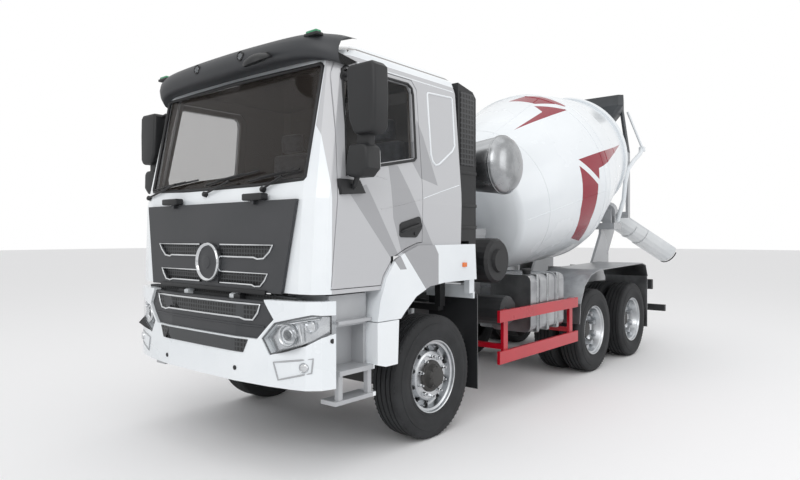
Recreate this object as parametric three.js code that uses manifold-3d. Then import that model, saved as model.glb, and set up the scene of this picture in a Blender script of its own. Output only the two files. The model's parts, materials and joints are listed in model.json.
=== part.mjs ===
// Three-axle concrete mixer truck, forward-control cab, millimetres, +Z up.
// Front faces -Y, the vehicle's left side is +X. Everything is laid out from the middle of
// the front axle on the ground; the last lines move the origin under the middle of the truck.
import * as THREE from 'three';
import { mergeVertices } from 'three/addons/utils/BufferGeometryUtils.js';
import { ConvexGeometry } from 'three/addons/geometries/ConvexGeometry.js';
import Module from 'manifold-3d';

const wasm = await Module();
wasm.setup();

// ---------------------------------------------------------------- driving dimensions
const fit = 0.3;                  // gap between pieces that rest on each other
const panelGap = 6;               // gap round doors and lids
const wheelbase = 3400;           // front axle to first rear axle
const tandem = 1350;              // first to second rear axle
const rearOverhang = 1250;        // second rear axle to the end of the rails
const frontOverhang = 1250;       // front axle to the front end of the rails

const tyreDiameter = 1050;
const tyreWidth = 280;
const rimDiameter = 610;
const twinSpacing = 340;          // between the middles of two twin tyres
const frontTrack = 2120;          // between the middles of the front tyres
const rearTrack = 1780;           // between the middles of the twin pairs
const kingpinSpan = 1860;         // between the steering pivots

const railSpan = 850;             // over the outsides of the rails
const railWidth = 80;
const railTop = 1020;
const railHeight = 280;

const cabWidth = 2480;            // widest, at the waist
const cabRear = 385;              // rear wall
const cabBottom = 1310;           // underside ahead of the wheels
const cabRoof = 3150;
const cabWall = 55;
const tunnelUnderside = 1560;     // underside over the engine
const tunnelFront = -620;
const glassThickness = 6;
const glassInset = 14;
const windscreenSill = 2090;
const windscreenTop = 2980;
const doorBottom = 1340;
const doorRear = -230;
const doorTop = 2985;
const lidThickness = 26;
const lidTop = 1976;
const lidBottom = 1304;

const bumperBottom = 650;
const bumperTop = 1262;
const bumperWall = 60;

const drumFrontRadius = 816;      // where the dished head meets the front cone
const drumRadius = 1187;
const drumTilt = 18.1;            // degrees, rising to the rear
const frontCone = 1575;           // length of the front cone
const drumCylinder = 155;         // length of the parallel part
const drumWall = 14;
const drumSetback = 1158;         // drum front joint ahead of the first rear axle
const drumHeight = drumRadius + 837;   // axis height at the front joint
const ringDistance = 3080;        // roller ring from the front joint, along the axis
const ringRadius = 945;
const mouthDistance = 3560;
const mouthRadius = 560;
const headDepth = 170;
const headRadius = 450;

const waterTankRadius = 280;
const waterTankLength = 2490;
const waterTankSetback = 1022;    // tank axis ahead of the drum's front joint
const waterTankRise = 406;        // tank axis above the drum's front joint
const fuelTankLength = 790;
const guardReach = 1250;          // outer face of the side guards
const chuteLength = 1600;
const chuteRadius = 190;
const chuteWall = 8;
const chuteSwing = 30;            // degrees to the left of straight back
const chuteSlope = 28;            // degrees down

// ---------------------------------------------------------------- derived places
const wheelRadius = tyreDiameter / 2;
const rearAxles = [wheelbase, wheelbase + tandem];
const frameRear = wheelbase + tandem + rearOverhang;
const railOuter = railSpan / 2;
const railInner = railOuter - railWidth;
const railBottom = railTop - railHeight;
const tilt = THREE.MathUtils.degToRad(drumTilt);
const drumFront = new THREE.Vector3(0, wheelbase - drumSetback, drumHeight);

// ---------------------------------------------------------------- finishes
const finish = (color, roughness, metalness = 0) =>
  new THREE.MeshStandardMaterial({ color, roughness, metalness });
const finishes = {
  white: finish('#e9edf0', 0.35),
  grey: finish('#b4b6b9', 0.4),
  charcoal: finish('#46484b', 0.55),
  black: finish('#1e1f21', 0.7),
  rubber: finish('#232426', 0.9),
  silver: finish('#b9bcbf', 0.35, 0.9),
  red: finish('#c4122f', 0.4),
  chassis: finish('#3a3b3d', 0.6, 0.3),
  glass: finish('#5b5653', 0.1),
  lamp: finish('#c9ced2', 0.2),
  cloth: finish('#5a5d62', 0.9),
};

// ---------------------------------------------------------------- solids
function solid(geometry) {
  const bare = geometry.index ? geometry.toNonIndexed() : geometry.clone();
  for (const name of Object.keys(bare.attributes)) {
    if (name !== 'position') bare.deleteAttribute(name);
  }
  const merged = mergeVertices(bare, 1e-3);
  const mesh = new wasm.Mesh({
    numProp: 3,
    vertProperties: new Float32Array(merged.attributes.position.array),
    triVerts: new Uint32Array(merged.index.array),
  });
  return new wasm.Manifold(mesh);
}

function geometryOf(body) {
  const mesh = body.getMesh();
  const geometry = new THREE.BufferGeometry();
  geometry.setAttribute('position', new THREE.BufferAttribute(mesh.vertProperties, 3));
  geometry.setIndex(new THREE.BufferAttribute(mesh.triVerts, 1));
  const flat = geometry.toNonIndexed();
  flat.computeVertexNormals();
  return flat;
}

function mirrored(body) {
  const geometry = geometryOf(body);
  const p = geometry.attributes.position.array;
  for (let i = 0; i < p.length; i += 9) {
    const [ax, ay, az, bx, by, bz, cx, cy, cz] = p.slice(i, i + 9);
    p.set([-ax, ay, az, -cx, cy, cz, -bx, by, bz], i);
  }
  return solid(geometry);
}

const join = (...bodies) => bodies.flat().reduce((whole, next) => whole.add(next));
const bothSides = (body) => [body, mirrored(body)];

// Box between two corners, given as [low, high] on each axis.
function box([x0, x1], [y0, y1], [z0, z1]) {
  const geometry = new THREE.BoxGeometry(x1 - x0, y1 - y0, z1 - z0);
  geometry.translate((x0 + x1) / 2, (y0 + y1) / 2, (z0 + z1) / 2);
  return solid(geometry);
}

function extruded(points, depth, ax, ay, az, origin) {
  const shape = new THREE.Shape(points.map(([a, b]) => new THREE.Vector2(a, b)));
  const geometry = new THREE.ExtrudeGeometry(shape, { depth, bevelEnabled: false });
  geometry.applyMatrix4(new THREE.Matrix4().makeBasis(ax, ay, az).setPosition(origin));
  return solid(geometry);
}

const X = new THREE.Vector3(1, 0, 0);
const Y = new THREE.Vector3(0, 1, 0);
const Z = new THREE.Vector3(0, 0, 1);
const backward = new THREE.Vector3(0, -1, 0);

// Outline of [y, z] points, from x0 to x1.
const sidePlate = (points, [x0, x1]) =>
  extruded(points, x1 - x0, Y, Z, X, new THREE.Vector3(x0, 0, 0));
// Outline of [x, z] points, from y0 to y1.
const frontPlate = (points, [y0, y1]) =>
  extruded(points, y1 - y0, X, Z, backward, new THREE.Vector3(0, y1, 0));
// Outline of [x, y] points, from z0 to z1.
const planPlate = (points, [z0, z1]) =>
  extruded(points, z1 - z0, X, Y, Z, new THREE.Vector3(0, 0, z0));

// Turned solid: profile of [along, radius] points round the axis from origin towards direction.
function turned(profile, origin, direction, sides) {
  const points = profile.map(([along, radius]) => new THREE.Vector2(radius, along));
  const geometry = new THREE.LatheGeometry(points, sides);
  geometry.rotateY(Math.PI / sides);
  const turn = new THREE.Quaternion().setFromUnitVectors(Y, direction.clone().normalize());
  geometry.applyQuaternion(turn);
  geometry.translate(origin.x, origin.y, origin.z);
  const body = solid(geometry);
  return body.volume() < 0 ? solid(flipped(geometry)) : body;
}

function flipped(geometry) {
  const flat = geometry.index ? geometry.toNonIndexed() : geometry.clone();
  const p = flat.attributes.position.array;
  for (let i = 0; i < p.length; i += 9) {
    const corner = p.slice(i + 3, i + 6);
    p.set(p.slice(i + 6, i + 9), i + 3);
    p.set(corner, i + 6);
  }
  return flat;
}

function rod(a, b, radius, sides = 12) {
  const start = new THREE.Vector3(...a);
  const along = new THREE.Vector3(...b).sub(start);
  const length = along.length();
  return turned([[0, 0], [0, radius], [length, radius], [length, 0]], start, along, sides);
}

const disc = (centre, direction, from, to, radius, sides = 24) =>
  turned([[from, 0], [from, radius], [to, radius], [to, 0]], centre, direction, sides);

const hull = (points) => solid(new ConvexGeometry(points.map((p) => new THREE.Vector3(...p))));

// ---------------------------------------------------------------- the assembly
const truck = new THREE.Group();
truck.name = 'concrete_mixer_truck';

function piece(name, body, material) {
  const mesh = new THREE.Mesh(geometryOf(body), finishes[material]);
  mesh.name = name;
  truck.add(mesh);
}

function pair(name, body, material) {
  piece(`${name}_left`, body, material);
  piece(`${name}_right`, mirrored(body), material);
}

// ---------------------------------------------------------------- frame and running gear
const tiltPivot = { y: -frontOverhang - 150, z: 1250 };
const crossmembers = [-1180, 860, 1700, wheelbase - 840, wheelbase - 420, wheelbase + 675,
  wheelbase + 1600, wheelbase + 2540];

function frame() {
  const rails = bothSides(box([railInner, railOuter], [-frontOverhang, frameRear],
    [railBottom, railTop]));
  const depth = 90;
  const members = crossmembers.map((y) =>
    box([-railInner - 5, railInner + 5], [y - depth / 2, y + depth / 2],
      [railBottom + 40, railTop - 60]));
  const hoop = [270, 350];
  const posts = bothSides(box([railInner, railOuter], hoop, [railTop - 5, tunnelUnderside - fit]));
  const beam = box([-railInner - 5, railInner + 5], hoop, [1470, 1540]);
  const pivots = bothSides(sidePlate([[tiltPivot.y - 24, tiltPivot.z + 26],
    [tiltPivot.y - 24, tiltPivot.z - 30], [-frontOverhang - 50, railTop - 60],
    [5 - frontOverhang, railTop - 60], [5 - frontOverhang, railTop],
    [tiltPivot.y + 26, tiltPivot.z + 26]], [railInner, railOuter]));
  piece('frame', join(...rails, ...members, ...posts, beam, ...pivots), 'chassis');
}

const springPack = { width: 84, thickness: 90, front: 720 };

function frontAxle() {
  const centre = railOuter - railWidth / 2;
  const beamTop = wheelRadius - 25;
  const beam = frontPlate([[-905, 460], [-780, 455], [-560, 370], [560, 370], [780, 455],
    [905, 460], [905, 590], [780, 560], [520, beamTop], [-520, beamTop], [-780, 560],
    [-905, 590]], [-55, 55]);
  const eyes = bothSides(turned([[455, 0], [455, 58], [595, 58], [595, 0]],
    new THREE.Vector3(kingpinSpan / 2, 0, 0), Z, 16));
  const x = [centre - springPack.width / 2, centre + springPack.width / 2];
  const low = beamTop - 5;
  const pack = sidePlate([[-springPack.front, railBottom - 60], [-120, low], [120, low],
    [springPack.front, railBottom - 60], [springPack.front, railBottom - fit],
    [springPack.front - 70, railBottom - fit], [springPack.front - 120, railBottom - 50],
    [140, low + springPack.thickness], [-140, low + springPack.thickness],
    [120 - springPack.front, railBottom - 50], [70 - springPack.front, railBottom - fit],
    [-springPack.front, railBottom - fit]], x);
  piece('front_axle', join(beam, ...eyes, ...bothSides(pack)), 'chassis');
}

function knuckle() {
  const pin = new THREE.Vector3(kingpinSpan / 2, 0, 0);
  const upper = turned([[595 + fit, 0], [595 + fit, 62], [640, 62], [640, 0]], pin, Z, 16);
  const lower = turned([[410, 0], [410, 62], [455 - fit, 62], [455 - fit, 0]], pin, Z, 16);
  const webTop = box([pin.x, pin.x + 95], [-55, 55], [600, 640]);
  const webLow = box([pin.x, pin.x + 95], [-55, 55], [410, 450]);
  const plate = box([pin.x + 68, pin.x + 95], [-75, 75], [410, 640]);
  const spindle = rod([pin.x + 80, 0, wheelRadius], [frontTrack / 2 + 82 - fit, 0, wheelRadius],
    48, 12);
  pair('knuckle', join(upper, lower, webTop, webLow, plate, spindle), 'chassis');
}

// Section of one tyre and its rim, across the width, from the inner face to the outer.
function tyreSection(centre) {
  const half = tyreWidth / 2;
  const rim = rimDiameter / 2;
  return [[centre - half + 26, rim - 8], [centre - half, wheelRadius - 130],
    [centre - half + 12, wheelRadius - 30], [centre - half + 34, wheelRadius],
    [centre + half - 34, wheelRadius], [centre + half - 12, wheelRadius - 30],
    [centre + half, wheelRadius - 130], [centre + half - 26, rim - 8]];
}

const wheelSides = 24;
const rimInner = 268;             // inside of the rim well

function frontWheel() {
  const centre = new THREE.Vector3(frontTrack / 2, 0, wheelRadius);
  const half = tyreWidth / 2;
  const profile = [[82, 0], [82, 150], [60, rimInner - 20], [-half + 34, rimInner + 12],
    ...tyreSection(0), [86, rimInner - 4], [104, 170], [120, 140], [165, 118], [165, 0]];
  pair('front_wheel', turned(profile, centre, X, wheelSides), 'rubber');
}

function twinWheels(y, name) {
  const centre = new THREE.Vector3(rearTrack / 2, y, wheelRadius);
  const offset = twinSpacing / 2;
  const half = tyreWidth / 2;
  const profile = [[-30, 0], [-30, 200], [-60, rimInner - 10], [-offset - half + 34, rimInner + 10],
    ...tyreSection(-offset), [0, rimInner + 14], ...tyreSection(offset),
    [offset + half - 34, rimInner + 10], [60, rimInner - 10], [36, 150], [190, 128], [190, 0]];
  pair(name, turned(profile, centre, X, wheelSides), 'rubber');
}

function rearAxle(y, name, shaftEnd) {
  const middle = new THREE.Vector3(0, y, wheelRadius);
  const half = rearTrack / 2 - 30 - fit;
  const tube = turned([[-half, 0], [-half, 62], [-430, 75], [-230, 85], [-150, 190],
    [150, 190], [230, 85], [430, 75], [half, 62], [half, 0]], middle, X, 20);
  const nose = rod([0, y, shaftHeight], [0, y - 300, shaftHeight], 80, 16);
  const bodies = [tube, nose];
  if (shaftEnd) bodies.push(rod([0, y, shaftHeight], [0, shaftEnd, shaftHeight], 45));
  piece(name, join(...bodies), 'chassis');
}

const trunnionY = wheelbase + tandem / 2;
const shaftHeight = wheelRadius + 110;

function rearSuspension() {
  const x = [railOuter + 34, railOuter + 118];
  const seat = wheelRadius + 75 + fit;
  const reach = tandem / 2;
  const pack = sidePlate([[trunnionY - reach - 50, seat], [trunnionY - reach + 60, seat],
    [trunnionY - 160, 690], [trunnionY + 160, 690], [trunnionY + reach - 60, seat],
    [trunnionY + reach + 50, seat], [trunnionY + reach + 50, seat + 34],
    [trunnionY + 200, 800], [trunnionY - 200, 800], [trunnionY - reach - 50, seat + 34]], x);
  const block = box(x, [trunnionY - 110, trunnionY + 110], [455, 700]);
  const hanger = sidePlate([[trunnionY - 240, 1000], [trunnionY - 240, 840],
    [trunnionY - 90, 460], [trunnionY + 90, 460], [trunnionY + 240, 840],
    [trunnionY + 240, 1000]], [railOuter + fit, railOuter + 26]);
  const tube = rod([-x[1], trunnionY, 520], [x[1], trunnionY, 520], 50, 12);
  piece('rear_suspension', join(tube, ...bothSides(join(pack, block)), ...bothSides(hanger)),
    'chassis');
}

function driveline() {
  const front = box([-300, 300], [-560, 250], [620, 1440]);
  const gearbox = box([-180, 180], [240, 760], [560, 980]);
  const mounts = bothSides(box([180, railInner - fit], [300, 400], [760, 900]));
  const feet = bothSides(box([290, railInner - fit], [-300, -180], [760, 900]));
  piece('engine', join(front, gearbox, ...mounts, ...feet), 'chassis');
  const end = wheelbase - 300 - fit;
  const slope = new THREE.Vector3(0, end - 760 - fit, shaftHeight - 640);
  const start = new THREE.Vector3(0, 760 + fit, 640);
  const length = slope.length();
  const shaft = turned([[0, 0], [0, 70], [40, 70], [70, 48], [length - 70, 48],
    [length - 40, 70], [length, 70], [length, 0]], start, slope, 16);
  piece('drive_shaft', shaft.subtract(box([-200, 200], [0, 760 + fit], [400, 900]))
    .subtract(box([-200, 200], [end, end + 300], [300, 900])), 'chassis');
}

// ---------------------------------------------------------------- tanks and side equipment
function fuelTank() {
  const rear = 2480;
  const y = [rear - fuelTankLength, rear];
  const corner = 70;
  const section = [];
  const [inner, outer, low, high] = [700, 1190, 690, 1300];
  const corners = [[inner + corner, low + corner, 180], [outer - corner, low + corner, 270],
    [outer - corner, high - corner, 0], [inner + corner, high - corner, 90]];
  for (const [x, z, start] of corners) {
    for (let step = 0; step <= 3; step += 1) {
      const angle = THREE.MathUtils.degToRad(start + step * 30);
      section.push([x + corner * Math.cos(angle), z + corner * Math.sin(angle)]);
    }
  }
  const tank = frontPlate(section, y);
  const straps = [y[0] + 230, y[1] - 190].map((place) => {
    const band = frontPlate(section.map(([x, z]) =>
      [945 + (x - 945) * 1.02, 995 + (z - 995) * 1.02]), [place - 30, place + 30]);
    const bracket = box([railOuter + fit, 740], [place - 30, place + 30], [700, 980]);
    return join(band, bracket);
  });
  piece('fuel_tank', join(tank, ...straps), 'silver');
}

function batteryBox() {
  const body = box([-1180, -railOuter - fit], [1720, 2400], [700, 1080]);
  const cover = box([-1190, -760], [1710, 2410], [1075, 1110]);
  piece('battery_box', join(body, cover), 'charcoal');
}

function airTank() {
  const tank = turned([[0, 0], [0, 120], [30, 150], [640, 150], [670, 120], [670, 0]],
    new THREE.Vector3(railOuter + 70, 1300, 960), X, 20);
  const bracket = box([railOuter + fit, railOuter + 120], [1260, 1340], [820, 1000]);
  piece('air_tank', join(tank, bracket), 'black');
}

const airCleanerY = 1150;

function airCleaner() {
  const can = turned([[0, 0], [0, 205], [40, 225], [470, 225], [500, 200], [500, 120],
    [530, 110], [530, 0]], new THREE.Vector3(620, airCleanerY, 1470), X, 24);
  const bracket = join(box([railOuter - 60, railOuter], [airCleanerY - 40, airCleanerY + 40],
    [railTop + fit, 1300]), box([railOuter - 60, 700], [airCleanerY - 40, airCleanerY + 40],
    [1230, 1300]));
  const elbow = rod([840, 694 + fit, 1480], [840, airCleanerY, 1480], 85, 12);
  piece('air_cleaner', join(can, bracket, elbow), 'black');
}

function snorkel() {
  const stack = sidePlate([[400, 1670], [575, 1670], [575, 1440], [694, 1440], [694, 3000],
    [640, 3053], [400, 3100]], [860, 1150]);
  const foot = box([railOuter - 60, 900], [440, 520], [railTop + fit, 1080]);
  const post = box([860, 920], [440, 520], [1060, 1700]);
  piece('snorkel', join(stack, foot, post), 'black');
}

function sideGuard() {
  const y = [964, 2743];
  const rails = [[476, 600], [880, 995]].map((z) => box([guardReach - 30, guardReach], y, z));
  const posts = [1120, 2610].map((place) => join(
    box([guardReach - 60, guardReach - 28], [place - 40, place + 40], [476, 995]),
    box([railOuter + fit, guardReach - 30], [place - 25, place + 25], [600, 650]),
    box([railOuter + fit, railOuter + 40], [place - 40, place + 40], [600, 940])));
  pair('side_guard', join(...rails, ...posts), 'red');
}

// ---------------------------------------------------------------- drum and its carriers
const along = new THREE.Vector3(0, Math.cos(tilt), Math.sin(tilt));
const drumPoint = (s) => drumFront.clone().addScaledVector(along, s);

function drumShell() {
  const wall = drumWall;
  const rear = frontCone + drumCylinder;
  const outer = [[-headDepth, 0], [-headDepth, headRadius], [-70, drumFrontRadius - 70],
    [0, drumFrontRadius], [frontCone, drumRadius], [rear, drumRadius],
    [ringDistance - 45, ringRadius - 30], [ringDistance - 45, ringRadius],
    [ringDistance + 45, ringRadius], [ringDistance + 45, ringRadius - 40],
    [mouthDistance, mouthRadius]];
  const inner = [[mouthDistance, mouthRadius - wall], [ringDistance + 40, ringRadius - 60],
    [rear, drumRadius - wall], [frontCone, drumRadius - wall], [6, drumFrontRadius - wall],
    [-60, drumFrontRadius - 84], [-headDepth + wall, headRadius], [-headDepth + wall, 0]];
  piece('drum', turned([...outer, ...inner], drumFront, along, 40), 'white');
}

function frontPedestal() {
  const gear = turned([[-660, 0], [-660, 110], [-420, 110], [-400, 160], [-300, 160],
    [-300, 215], [-headDepth - fit, 215], [-headDepth - fit, 0]], drumFront, along, 24);
  const foot = drumPoint(-360);
  const plate = (x0, x1) => sidePlate([[foot.y - 330, railTop + fit], [foot.y + 190, railTop + fit],
    [foot.y + 120, foot.z - 120], [foot.y - 130, foot.z - 120]], [x0, x1]);
  const legs = bothSides(plate(railInner + 10, railOuter - 10));
  const bed = box([-railOuter, railOuter], [waterTankPlace().y - 60, foot.y + 130],
    [foot.z - 190, foot.z - 110]);
  const saddle = join(box([-110, 110], [foot.y - 100, foot.y + 80], [foot.z - 130, foot.z - 20]));
  const tank = waterTankPlace();
  const post = box([560, 640], [tank.y - 60, tank.y + 60],
    [foot.z - 190, tank.z - waterTankRadius * 0.82]);
  const arm = box([railOuter - 40, 640], [tank.y - 60, tank.y + 60],
    [foot.z - 190, foot.z - 110]);
  const cradle = box([560, 640], [tank.y - 190, tank.y + 120],
    [tank.z - waterTankRadius - 60, tank.z - waterTankRadius * 0.7]);
  const posts = bothSides(join(post, arm, cradle));
  const body = join(gear, ...legs, bed, saddle, ...posts);
  piece('front_pedestal', body.subtract(waterTankBody(fit)), 'chassis');
}

const waterTankPlace = () => new THREE.Vector3(0, drumFront.y - waterTankSetback, 
  drumHeight + waterTankRise);

function waterTankBody(grow) {
  const half = waterTankLength / 2 + grow;
  const r = waterTankRadius + grow;
  return turned([[-half, 0], [-half, r * 0.45], [-half + 40, r * 0.85], [-half + 90, r],
    [half - 90, r], [half - 40, r * 0.85], [half, r * 0.45], [half, 0]],
  waterTankPlace(), X, 28);
}

function waterTank() {
  piece('water_tank', waterTankBody(0), 'silver');
}

const rollerRadius = 120;
const rollerGap = 0.9;
// Middle of the left roller under the drum's ring.
function rollerCentre() {
  const spread = THREE.MathUtils.degToRad(32);
  const reach = ringRadius + rollerRadius + rollerGap;
  const up = new THREE.Vector3(0, -Math.sin(tilt), Math.cos(tilt));
  const centre = drumPoint(ringDistance).addScaledVector(up, -reach * Math.cos(spread));
  centre.x = reach * Math.sin(spread);
  return centre;
}

const shelfReach = () => rollerCentre().x + 140;

// Upright plates behind the drum that carry the hopper, the funnel and the chute.
const mast = { x: [660, 700], y: [wheelbase + 2520, wheelbase + 2610], top: 3080 };
const plateX = [460, 500];

function rearPedestal() {
  const centre = rollerCentre();
  const roller = disc(centre, along, -55, 55, rollerRadius, 16);
  const axle = disc(centre, along, -95, 95, 40, 8);
  const cheek = (s) => {
    const at = centre.clone().addScaledVector(along, s);
    return sidePlate([[at.y - 14, at.z + 50], [at.y - 14, at.z - 220], [at.y + 14, at.z - 220],
      [at.y + 14, at.z + 50]], [at.x - 70, at.x + 70]);
  };
  const base = railTop + fit;
  const top = centre.z - 210;
  const heel = mast.y[0] - 320;
  const side = sidePlate([[centre.y - 700, base], [heel, base], [heel, base + 450],
    [mast.y[1], top + 100], [mast.y[1], top + 200], [mast.y[0], top + 200],
    [centre.y + 300, top], [centre.y - 140, top], [centre.y - 150, top - 160]], plateX);
  const foot = box([railInner, plateX[1]], [centre.y - 700, heel], [base, base + 40]);
  const shelf = box([railOuter - 60, shelfReach()], [centre.y - 150, centre.y + 150],
    [top - 90, top + 10]);
  const arm = box([plateX[0], mast.x[1]], mast.y, [top + 100, top + 200]);
  const post = box(mast.x, mast.y, [top + 100, mast.top]);
  const tie = box([-plateX[0] - 5, plateX[0] + 5], [mast.y[0], mast.y[0] + 60],
    [carrierLow, carrierLow + 80]);
  const half = join(roller, axle, cheek(-80), cheek(80), shelf, side, foot, arm, post);
  piece('rear_pedestal', join(...bothSides(half), tie), 'grey');
}

// Ring of points mirrored across the middle plane, given as [x, y] on the left side.
const ringAt = (z, inset, points) => points.flatMap(([x, y, back]) => {
  const px = x - inset;
  const py = y + (back ? -inset : inset);
  return [[px, py, z], [-px, py, z]];
});

function hopper() {
  const top = 3945;
  const band = 3785;
  const neck = 3300;
  const front = wheelbase + 2090;
  const wall = 14;
  const rim = [[700, front], [760, front + 60], [570, front + 600, true], [400, front + 670, true]];
  const throat = [[230, front + 250], [230, front + 410, true]];
  const shape = (inset) => hull([
    ...ringAt(top + inset, inset, rim), ...ringAt(band, inset, rim),
    ...ringAt(neck, inset, throat)]);
  const spout = (inset, high, low) => hull([...ringAt(high, inset, throat),
    ...ringAt(low, inset, [[200, front + 80], [200, front + 220, true]])]);
  const shell = join(shape(0), spout(0, neck + 1, 3110)).subtract(shape(wall))
    .subtract(spout(wall, neck + 40, 3100));
  const leg = hull([[mast.x[0], mast.y[0], mast.top + fit], [mast.x[1], mast.y[0], mast.top + fit],
    [mast.x[0], mast.y[1], mast.top + fit], [mast.x[1], mast.y[1], mast.top + fit],
    [550, mast.y[0], band + 60], [590, mast.y[0], band + 60], [550, mast.y[1], band + 60],
    [590, mast.y[1], band + 60]]).subtract(shape(wall));
  piece('hopper', join(shell, ...bothSides(leg)), 'charcoal');
}

function dischargeFunnel() {
  const y = mast.y[0] - 60;
  const wall = 12;
  const outer = (inset) => hull([
    ...ringAt(3050 + inset, inset, [[600, y + 40], [430, y + 560, true]]),
    ...ringAt(2560, inset, [[480, y], [340, y + 540, true]]),
    ...ringAt(2300 - inset, inset, [[190, y + 90], [170, y + 500, true]])]);
  const shell = outer(0).subtract(outer(wall));
  const lug = box([560, mast.x[0] - fit], mast.y, [2900, 2980]).subtract(outer(wall));
  piece('discharge_funnel', join(shell, ...bothSides(lug)), 'white');
}

function ladder() {
  const x = [-1100, -800];
  const y = [rollerCentre().y + 100, rollerCentre().y + 140];
  const stiles = [x[0], x[1] - 34].map((x0) => box([x0, x0 + 34], y, [1200, 3300]));
  const rungs = Array.from({ length: 7 }, (_, i) =>
    box([x[0], x[1]], [y[0] + 8, y[1] - 8], [1290 + i * 290, 1320 + i * 290]));
  const stay = box([x[1] - 10, -shelfReach() - fit], y,
    [rollerCentre().z - 280, rollerCentre().z - 230]);
  piece('ladder', join(...stiles, ...rungs, stay), 'silver');
}

// ---------------------------------------------------------------- chute
const chutePivot = { y: wheelbase + 2780, z: 2250 };
const carrierLow = chutePivot.z - 290 - fit;

// Turn from straight back, about the swing pivot, then down the slope at the tilt pin.
function placeChute(body, slope) {
  const geometry = geometryOf(body);
  const pin = new THREE.Vector3(0, 210, -70);
  const down = new THREE.Matrix4().makeTranslation(pin.x, pin.y, pin.z)
    .multiply(new THREE.Matrix4().makeRotationX(THREE.MathUtils.degToRad(-slope)));
  const swing = new THREE.Matrix4().makeTranslation(0, chutePivot.y, chutePivot.z)
    .multiply(new THREE.Matrix4().makeRotationZ(THREE.MathUtils.degToRad(-chuteSwing)));
  geometry.applyMatrix4(slope === null ? swing : swing.multiply(down));
  return solid(geometry);
}

// U-shaped trough; lip is how far its upright edges stand in from the round part.
function trough(from, to, radius, wall, lip = 0) {
  const arc = (r, back) => Array.from({ length: 9 }, (_, i) => {
    const angle = Math.PI * (1 + (back ? 8 - i : i) / 8);
    return [r * Math.cos(angle), r * Math.sin(angle)];
  });
  const rise = 60;
  const section = [[-radius, rise], ...arc(radius, false), [radius, rise],
    [radius - wall - lip, rise], [radius - wall - lip, 5], ...arc(radius - wall, true),
    [-radius + wall + lip, 5], [-radius + wall + lip, rise]];
  return frontPlate(section, [from, to]);
}

function chuteAssembly() {
  const post = disc(new THREE.Vector3(0, 0, 0), Z, -210, -90, 90, 16);
  const yoke = join(box([-235, 235], [60, 110], [-190, -20]), box([-60, 60], [0, 100], [-190, -110]),
    ...bothSides(box([215, 235], [70, 240], [-130, -20])));
  piece('chute_swing', placeChute(join(post, yoke), null), 'chassis');
  const pins = bothSides(rod([chuteRadius - 8, 0, 0], [215 - fit, 0, 0], 22, 8));
  const relief = box([-chuteRadius - 20, chuteRadius + 20], [-60, 70], [-chuteRadius - 20, -60]);
  const main = trough(-20, chuteLength, chuteRadius, chuteWall).subtract(relief);
  piece('chute', placeChute(join(main, ...pins), chuteSlope), 'white');
  const nested = trough(chuteLength - 700, chuteLength - 20, chuteRadius + 6 + chuteWall,
    chuteWall, 6 - fit);
  const flap = placeChute(nested, chuteSlope);
  piece('chute_extension', flap, 'white');
}

function chuteCarrier() {
  const post = disc(new THREE.Vector3(0, chutePivot.y, 0), Z, carrierLow - 60, carrierLow + 80,
    70, 16);
  const arm = box([-70, 70], [mast.y[0] + 60 + fit, chutePivot.y], [carrierLow, carrierLow + 80]);
  piece('chute_carrier', join(post, arm), 'chassis');
}

// ---------------------------------------------------------------- cab
// Height, half width, front face and rear face of the cab body at five levels.
const half = cabWidth / 2;
const levels = [
  { z: cabBottom, half: half - 16, front: -1372, rear: cabRear },
  { z: 1980, half, front: -1345, rear: cabRear },
  { z: windscreenSill, half: half - 2, front: -1318, rear: cabRear },
  { z: windscreenTop, half: half - 72, front: -1163, rear: cabRear },
  { z: cabRoof - 70, half: half - 95, front: -1090, rear: cabRear - 25 },
  { z: cabRoof, half: half - 170, front: -950, rear: cabRear - 100 },
];

function cabBody(inset, frontInset = inset) {
  const points = [];
  levels.forEach((level, i) => {
    let { z } = level;
    if (i === 0) z += inset;
    if (i === levels.length - 1) z -= inset;
    const w = level.half - inset;
    const f = level.front + frontInset;
    const r = level.rear - inset;
    for (const side of [-1, 1]) {
      points.push([side * (w - 200), f, z], [side * (w - 95), f + 28, z],
        [side * (w - 25), f + 90, z], [side * w, f + 150, z],
        [side * w, r - 60, z], [side * (w - 50), r, z]);
    }
  });
  return hull(points);
}

const doorOutline = (gap) => [
  [-1242 + gap, doorBottom + gap], [-1139 + gap, 2880], [-1105 + gap, doorTop - gap],
  [doorRear - gap - 60, doorTop - gap], [doorRear - gap, doorTop - 70 - gap],
  [doorRear - gap, 1662 + gap], [-300, 1656 + gap], [-438 - gap, 1614 + gap],
  [-592 - gap, 1548 + gap], [-702 - gap, 1408 + gap], [-728 - gap, doorBottom + gap]];
const windowOutline = (gap) => [[-1100 + gap, 2170 + gap], [-1062 + gap, 2930 - gap],
  [-330 - gap, 2930 - gap], [-300 - gap, 2880], [-316 - gap, 2345 + gap], [-760, 2262 + gap]];
const screenOutline = (gap) => [[-1035 + gap, windscreenSill + 20 + gap],
  [1035 - gap, windscreenSill + 20 + gap], [1040 - gap, windscreenTop - 10 - gap],
  [-1040 + gap, windscreenTop - 10 - gap]];
const sideReach = [half - 300, half + 60];

function cabInside() {
  const floor = box([-half, half], [tunnelFront - cabWall, cabRear + 10],
    [cabBottom - 10, tunnelUnderside + cabWall]);
  return cabBody(cabWall).subtract(floor);
}

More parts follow.
